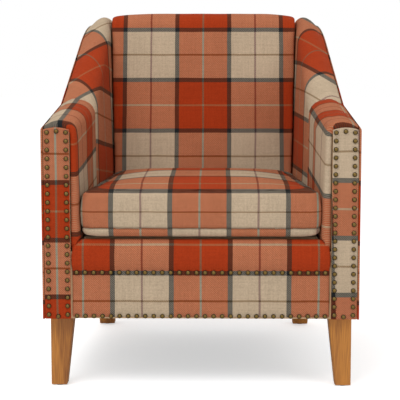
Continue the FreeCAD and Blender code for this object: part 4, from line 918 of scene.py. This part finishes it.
class CHAIR_OT_nails(bpy.types.Operator):
    """Drives the domed nails along the facings and the border"""
    bl_idname = "chair.nails"
    bl_label = "Nails"

    def execute(self, context):
        sizes = context.scene.chair_nails
        # the nail heads get a strong painted shade towards their edges
        brass = metal("antique_brass_new", colour(138, 112, 60), colour(20, 14, 7), roughness=0.24,
                      rim_shade=1.5)
        tree = self.heads()
        for node in ("arm_nails_left", "arm_nails_right", "rail_nails_upper", "rail_nails_lower"):
            shape = merged_copy(node)
            mesh = bpy.data.meshes.new(f"{node}_heads")
            spots = []
            for group in islands(shape):
                low, high = span(group)
                middle = (low + high) / 2
                spots.append((middle[0], low[1] + sizes.height * 0.8, middle[2]))
            shape.free()
            if not spots:
                raise RuntimeError(f"{node} has no nails")
            mesh.from_pydata(spots, [], [])
            piece = in_scene(f"{node}_heads", mesh)
            modifier = piece.modifiers.new("Heads", "NODES")
            modifier.node_group = tree
            given = {"Head width": sizes.width, "Head height": sizes.height, "Tilt": sizes.tilt,
                     "Seed": sizes.seed, "Material": brass}
            for item in tree.interface.items_tree:
                if item.name in given:
                    modifier[item.identifier] = given[item.name]
            settled(piece)
            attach(piece, "chair")
            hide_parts(node)
        return {"FINISHED"}

    def heads(self):
        """A node tree that sets a leaning dome on each point."""
        tree = bpy.data.node_groups.new("nail_heads", "GeometryNodeTree")
        for name, kind in (("Geometry", "Geometry"), ("Head width", "Float"), ("Head height", "Float"),
                           ("Tilt", "Float"), ("Seed", "Int"), ("Material", "Material")):
            tree.interface.new_socket(name, in_out="INPUT", socket_type=f"NodeSocket{kind}")
        tree.interface.new_socket("Geometry", in_out="OUTPUT", socket_type="NodeSocketGeometry")
        graph = Graph(tree)
        given = graph.node("NodeGroupInput")
        width, height = graph.out(given, "Head width"), graph.out(given, "Head height")
        dome = graph.node("GeometryNodeMeshUVSphere", Segments=10, Rings=5, Radius=0.5)
        smooth = graph.node("GeometryNodeSetShadeSmooth", Geometry=graph.out(dome, "Mesh"))
        tilt = graph.out(given, "Tilt")
        lean = graph.node("FunctionNodeRandomValue", {"data_type": "FLOAT_VECTOR"},
                          Min=graph.vector(math.pi / 2 - tilt, 0.0, 0.0 - tilt),
                          Max=graph.vector(math.pi / 2 + tilt, math.tau, tilt),
                          Seed=graph.out(given, "Seed"))
        placed = graph.node("GeometryNodeInstanceOnPoints", Points=graph.out(given, "Geometry"),
                            Instance=graph.out(smooth), Rotation=graph.out(lean, "Value"),
                            Scale=graph.vector(width, width, height * 2.0))
        solid = graph.node("GeometryNodeRealizeInstances", Geometry=graph.out(placed, "Instances"))
        coloured = graph.node("GeometryNodeSetMaterial", Geometry=graph.out(solid),
                              Material=graph.out(given, "Material"))
        graph.node("NodeGroupOutput", Geometry=graph.out(coloured))
        return tree


class CHAIR_OT_finishes(bpy.types.Operator):
    """Finishes the timber, metal and inner cloths of the frame"""
    bl_idname = "chair.finishes"
    bl_label = "Finishes"

    def execute(self, context):
        oak = timber("oak_new", colour(196, 128, 46), colour(112, 58, 12), polish=0.05, grain=1.0)
        beech = timber("beech_new", colour(214, 180, 138), colour(176, 138, 98), polish=0.0, grain=0.5)
        steel = metal("steel_new", colour(150, 152, 155), colour(70, 70, 72), roughness=0.30, rim_shade=0.2)
        brass = metal("antique_brass_inner", colour(160, 128, 66), colour(46, 34, 22),
                      roughness=0.3, rim_shade=0.3)
        zip_metal = metal("zip_metal_new", colour(150, 130, 90), colour(80, 66, 44),
                          roughness=0.3, rim_shade=0.2)
        finishes = {
            "check_cloth": check_cloth("check_cloth_sides", STRIPE, STRIPE, side_coordinates),
            "deck_cloth": plain_cloth("deck_cloth_inner", CALICO, thread=0.0016, fuzz=0.2),
            "black_cloth": plain_cloth("black_cloth_inner", BLACK, thread=0.0009, fuzz=0.1),
            "felt": plain_cloth("felt_new", colour(92, 90, 88), thread=0.004, fuzz=0.4),
            "foam": moulding("foam_new", FOAM, roughness=0.75),
            "webbing": plain_cloth("webbing_new", colour(120, 96, 66), thread=0.0022, fuzz=0.2),
            "beech": beech,
            "oak": oak,
            "nylon": moulding("nylon_new", colour(60, 58, 56), roughness=0.4),
            "steel": steel,
            "antique_brass": brass,
            "zip_tape": plain_cloth("zip_tape_new", colour(150, 84, 52), thread=0.0010, fuzz=0.1),
            "zip_metal": zip_metal,
        }
        rear = check_cloth("check_cloth_rear", STRIPE, STRIPE, rear_coordinates)
        for name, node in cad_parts.items():
            for place in node.material_slots:
                kind = place.material.name.split(".")[0]
                if kind not in finishes:
                    raise RuntimeError(f"{name} has the unknown finish {kind}")
                place.material = rear if name == "outside_back" else finishes[kind]
        return {"FINISHED"}


class CHAIR_OT_stage(bpy.types.Operator):
    """Sets the floor, the lights and the camera"""
    bl_idname = "chair.stage"
    bl_label = "Stage"

    def execute(self, context):
        sizes = context.scene.chair_stage
        shape = bmesh.new()
        bmesh.ops.create_grid(shape, x_segments=1, y_segments=1, size=14)
        mesh = bpy.data.meshes.new("floor")
        shape.to_mesh(mesh)
        shape.free()
        floor = in_scene("floor", mesh)
        floor.data.materials.append(self.pale())
        self.sky(context, sizes.sky)
        self.lamp("key_light", (-1.1, -1.9, 3.4), 2.4, sizes.key)
        self.lamp("fill_light", (2.4, -2.4, 2.2), 2.0, sizes.fill)
        camera = bpy.data.objects.new("camera", bpy.data.cameras.new("camera"))
        context.scene.collection.objects.link(camera)
        camera.data.lens = sizes.lens
        camera.data.sensor_width = 36.0
        camera.data.dof.use_dof = False
        camera.location = CAMERA_PLACE
        camera.rotation_euler = (math.pi / 2 - CAMERA_DOWN, 0, CAMERA_TURN)
        context.scene.camera = camera
        context.scene.view_settings.view_transform = "Standard"
        return {"FINISHED"}

    def pale(self):
        """A pale floor that reads white to the camera and still takes the shadow."""
        material, graph, shader = new_material("floor", Roughness=1.0, Specular_IOR_Level=0.0)
        grain = graph.noise(graph.place(), 30.0)
        ground = graph.scaled(colour(250, 250, 250), 0.97 + grain * 0.03)
        graph.plug(shader.inputs["Base Color"], ground)
        seen = graph.out(graph.node("ShaderNodeLightPath"), "Is Camera Ray")
        shader.inputs["Emission Strength"].default_value = 0.50
        graph.plug(shader.inputs["Emission Color"], graph.mix(seen, colour(0, 0, 0), WHITE))
        return material

    def sky(self, context, strength):
        """An even sky that the camera, and mirrors and glass, see as white."""
        world = bpy.data.worlds.new("sky")
        context.scene.world = world
        world.use_nodes = True
        graph = Graph(world.node_tree)
        path = graph.node("ShaderNodeLightPath")
        kinds = ("Camera", "Transmission", "Glossy")
        camera, clear, mirror = (graph.out(path, f"Is {kind} Ray") for kind in kinds)
        seen = graph.math("MAXIMUM", graph.math("MAXIMUM", camera, clear), mirror)
        back = world.node_tree.nodes["Background"]
        back.inputs["Color"].default_value = (1, 1, 1, 1)
        graph.plug(back.inputs["Strength"], strength + seen * (1.0 - strength))

    def lamp(self, name, place, size, power):
        light = bpy.data.lights.new(name, "AREA")
        light.size = size
        light.energy = power
        lamp = bpy.data.objects.new(name, light)
        bpy.context.scene.collection.objects.link(lamp)
        lamp.location = place
        lamp.rotation_euler = (Vector(place) - LAMP_TARGET).to_track_quat("Z", "Y").to_euler()


class CHAIR_PT_sidebar(bpy.types.Panel):
    """Lists the chair's steps"""
    bl_idname = "CHAIR_PT_sidebar"
    bl_label = "Fireside chair"
    bl_space_type = "VIEW_3D"
    bl_region_type = "UI"
    bl_category = "Chair"

    def draw(self, context):
        for operator in OPERATORS:
            self.layout.operator(operator.bl_idname)


SETTINGS = {"chair_cloth": ClothSettings, "chair_cushion": CushionSettings,
            "chair_nails": NailSettings, "chair_stage": StageSettings}
OPERATORS = (CHAIR_OT_finishes, CHAIR_OT_inside_back, CHAIR_OT_arms, CHAIR_OT_wings, CHAIR_OT_border,
             CHAIR_OT_cushion, CHAIR_OT_seat_deck, CHAIR_OT_nails, CHAIR_OT_stage)


def register():
    for kind in (*SETTINGS.values(), *OPERATORS, CHAIR_PT_sidebar):
        bpy.utils.register_class(kind)
    for name, kind in SETTINGS.items():
        setattr(bpy.types.Scene, name, PointerProperty(type=kind))


def unregister():
    for name in SETTINGS:
        delattr(bpy.types.Scene, name)
    for kind in (CHAIR_PT_sidebar, *reversed(OPERATORS), *reversed(SETTINGS.values())):
        bpy.utils.unregister_class(kind)


def main():
    register()
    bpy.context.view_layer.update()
    bpy.ops.chair.finishes()
    bpy.ops.chair.inside_back()
    bpy.ops.chair.arms()
    bpy.ops.chair.wings()
    bpy.ops.chair.border()
    bpy.ops.chair.cushion()
    bpy.ops.chair.seat_deck()
    bpy.ops.chair.nails()
    bpy.ops.chair.stage()


if __name__ == "__main__":
    main()
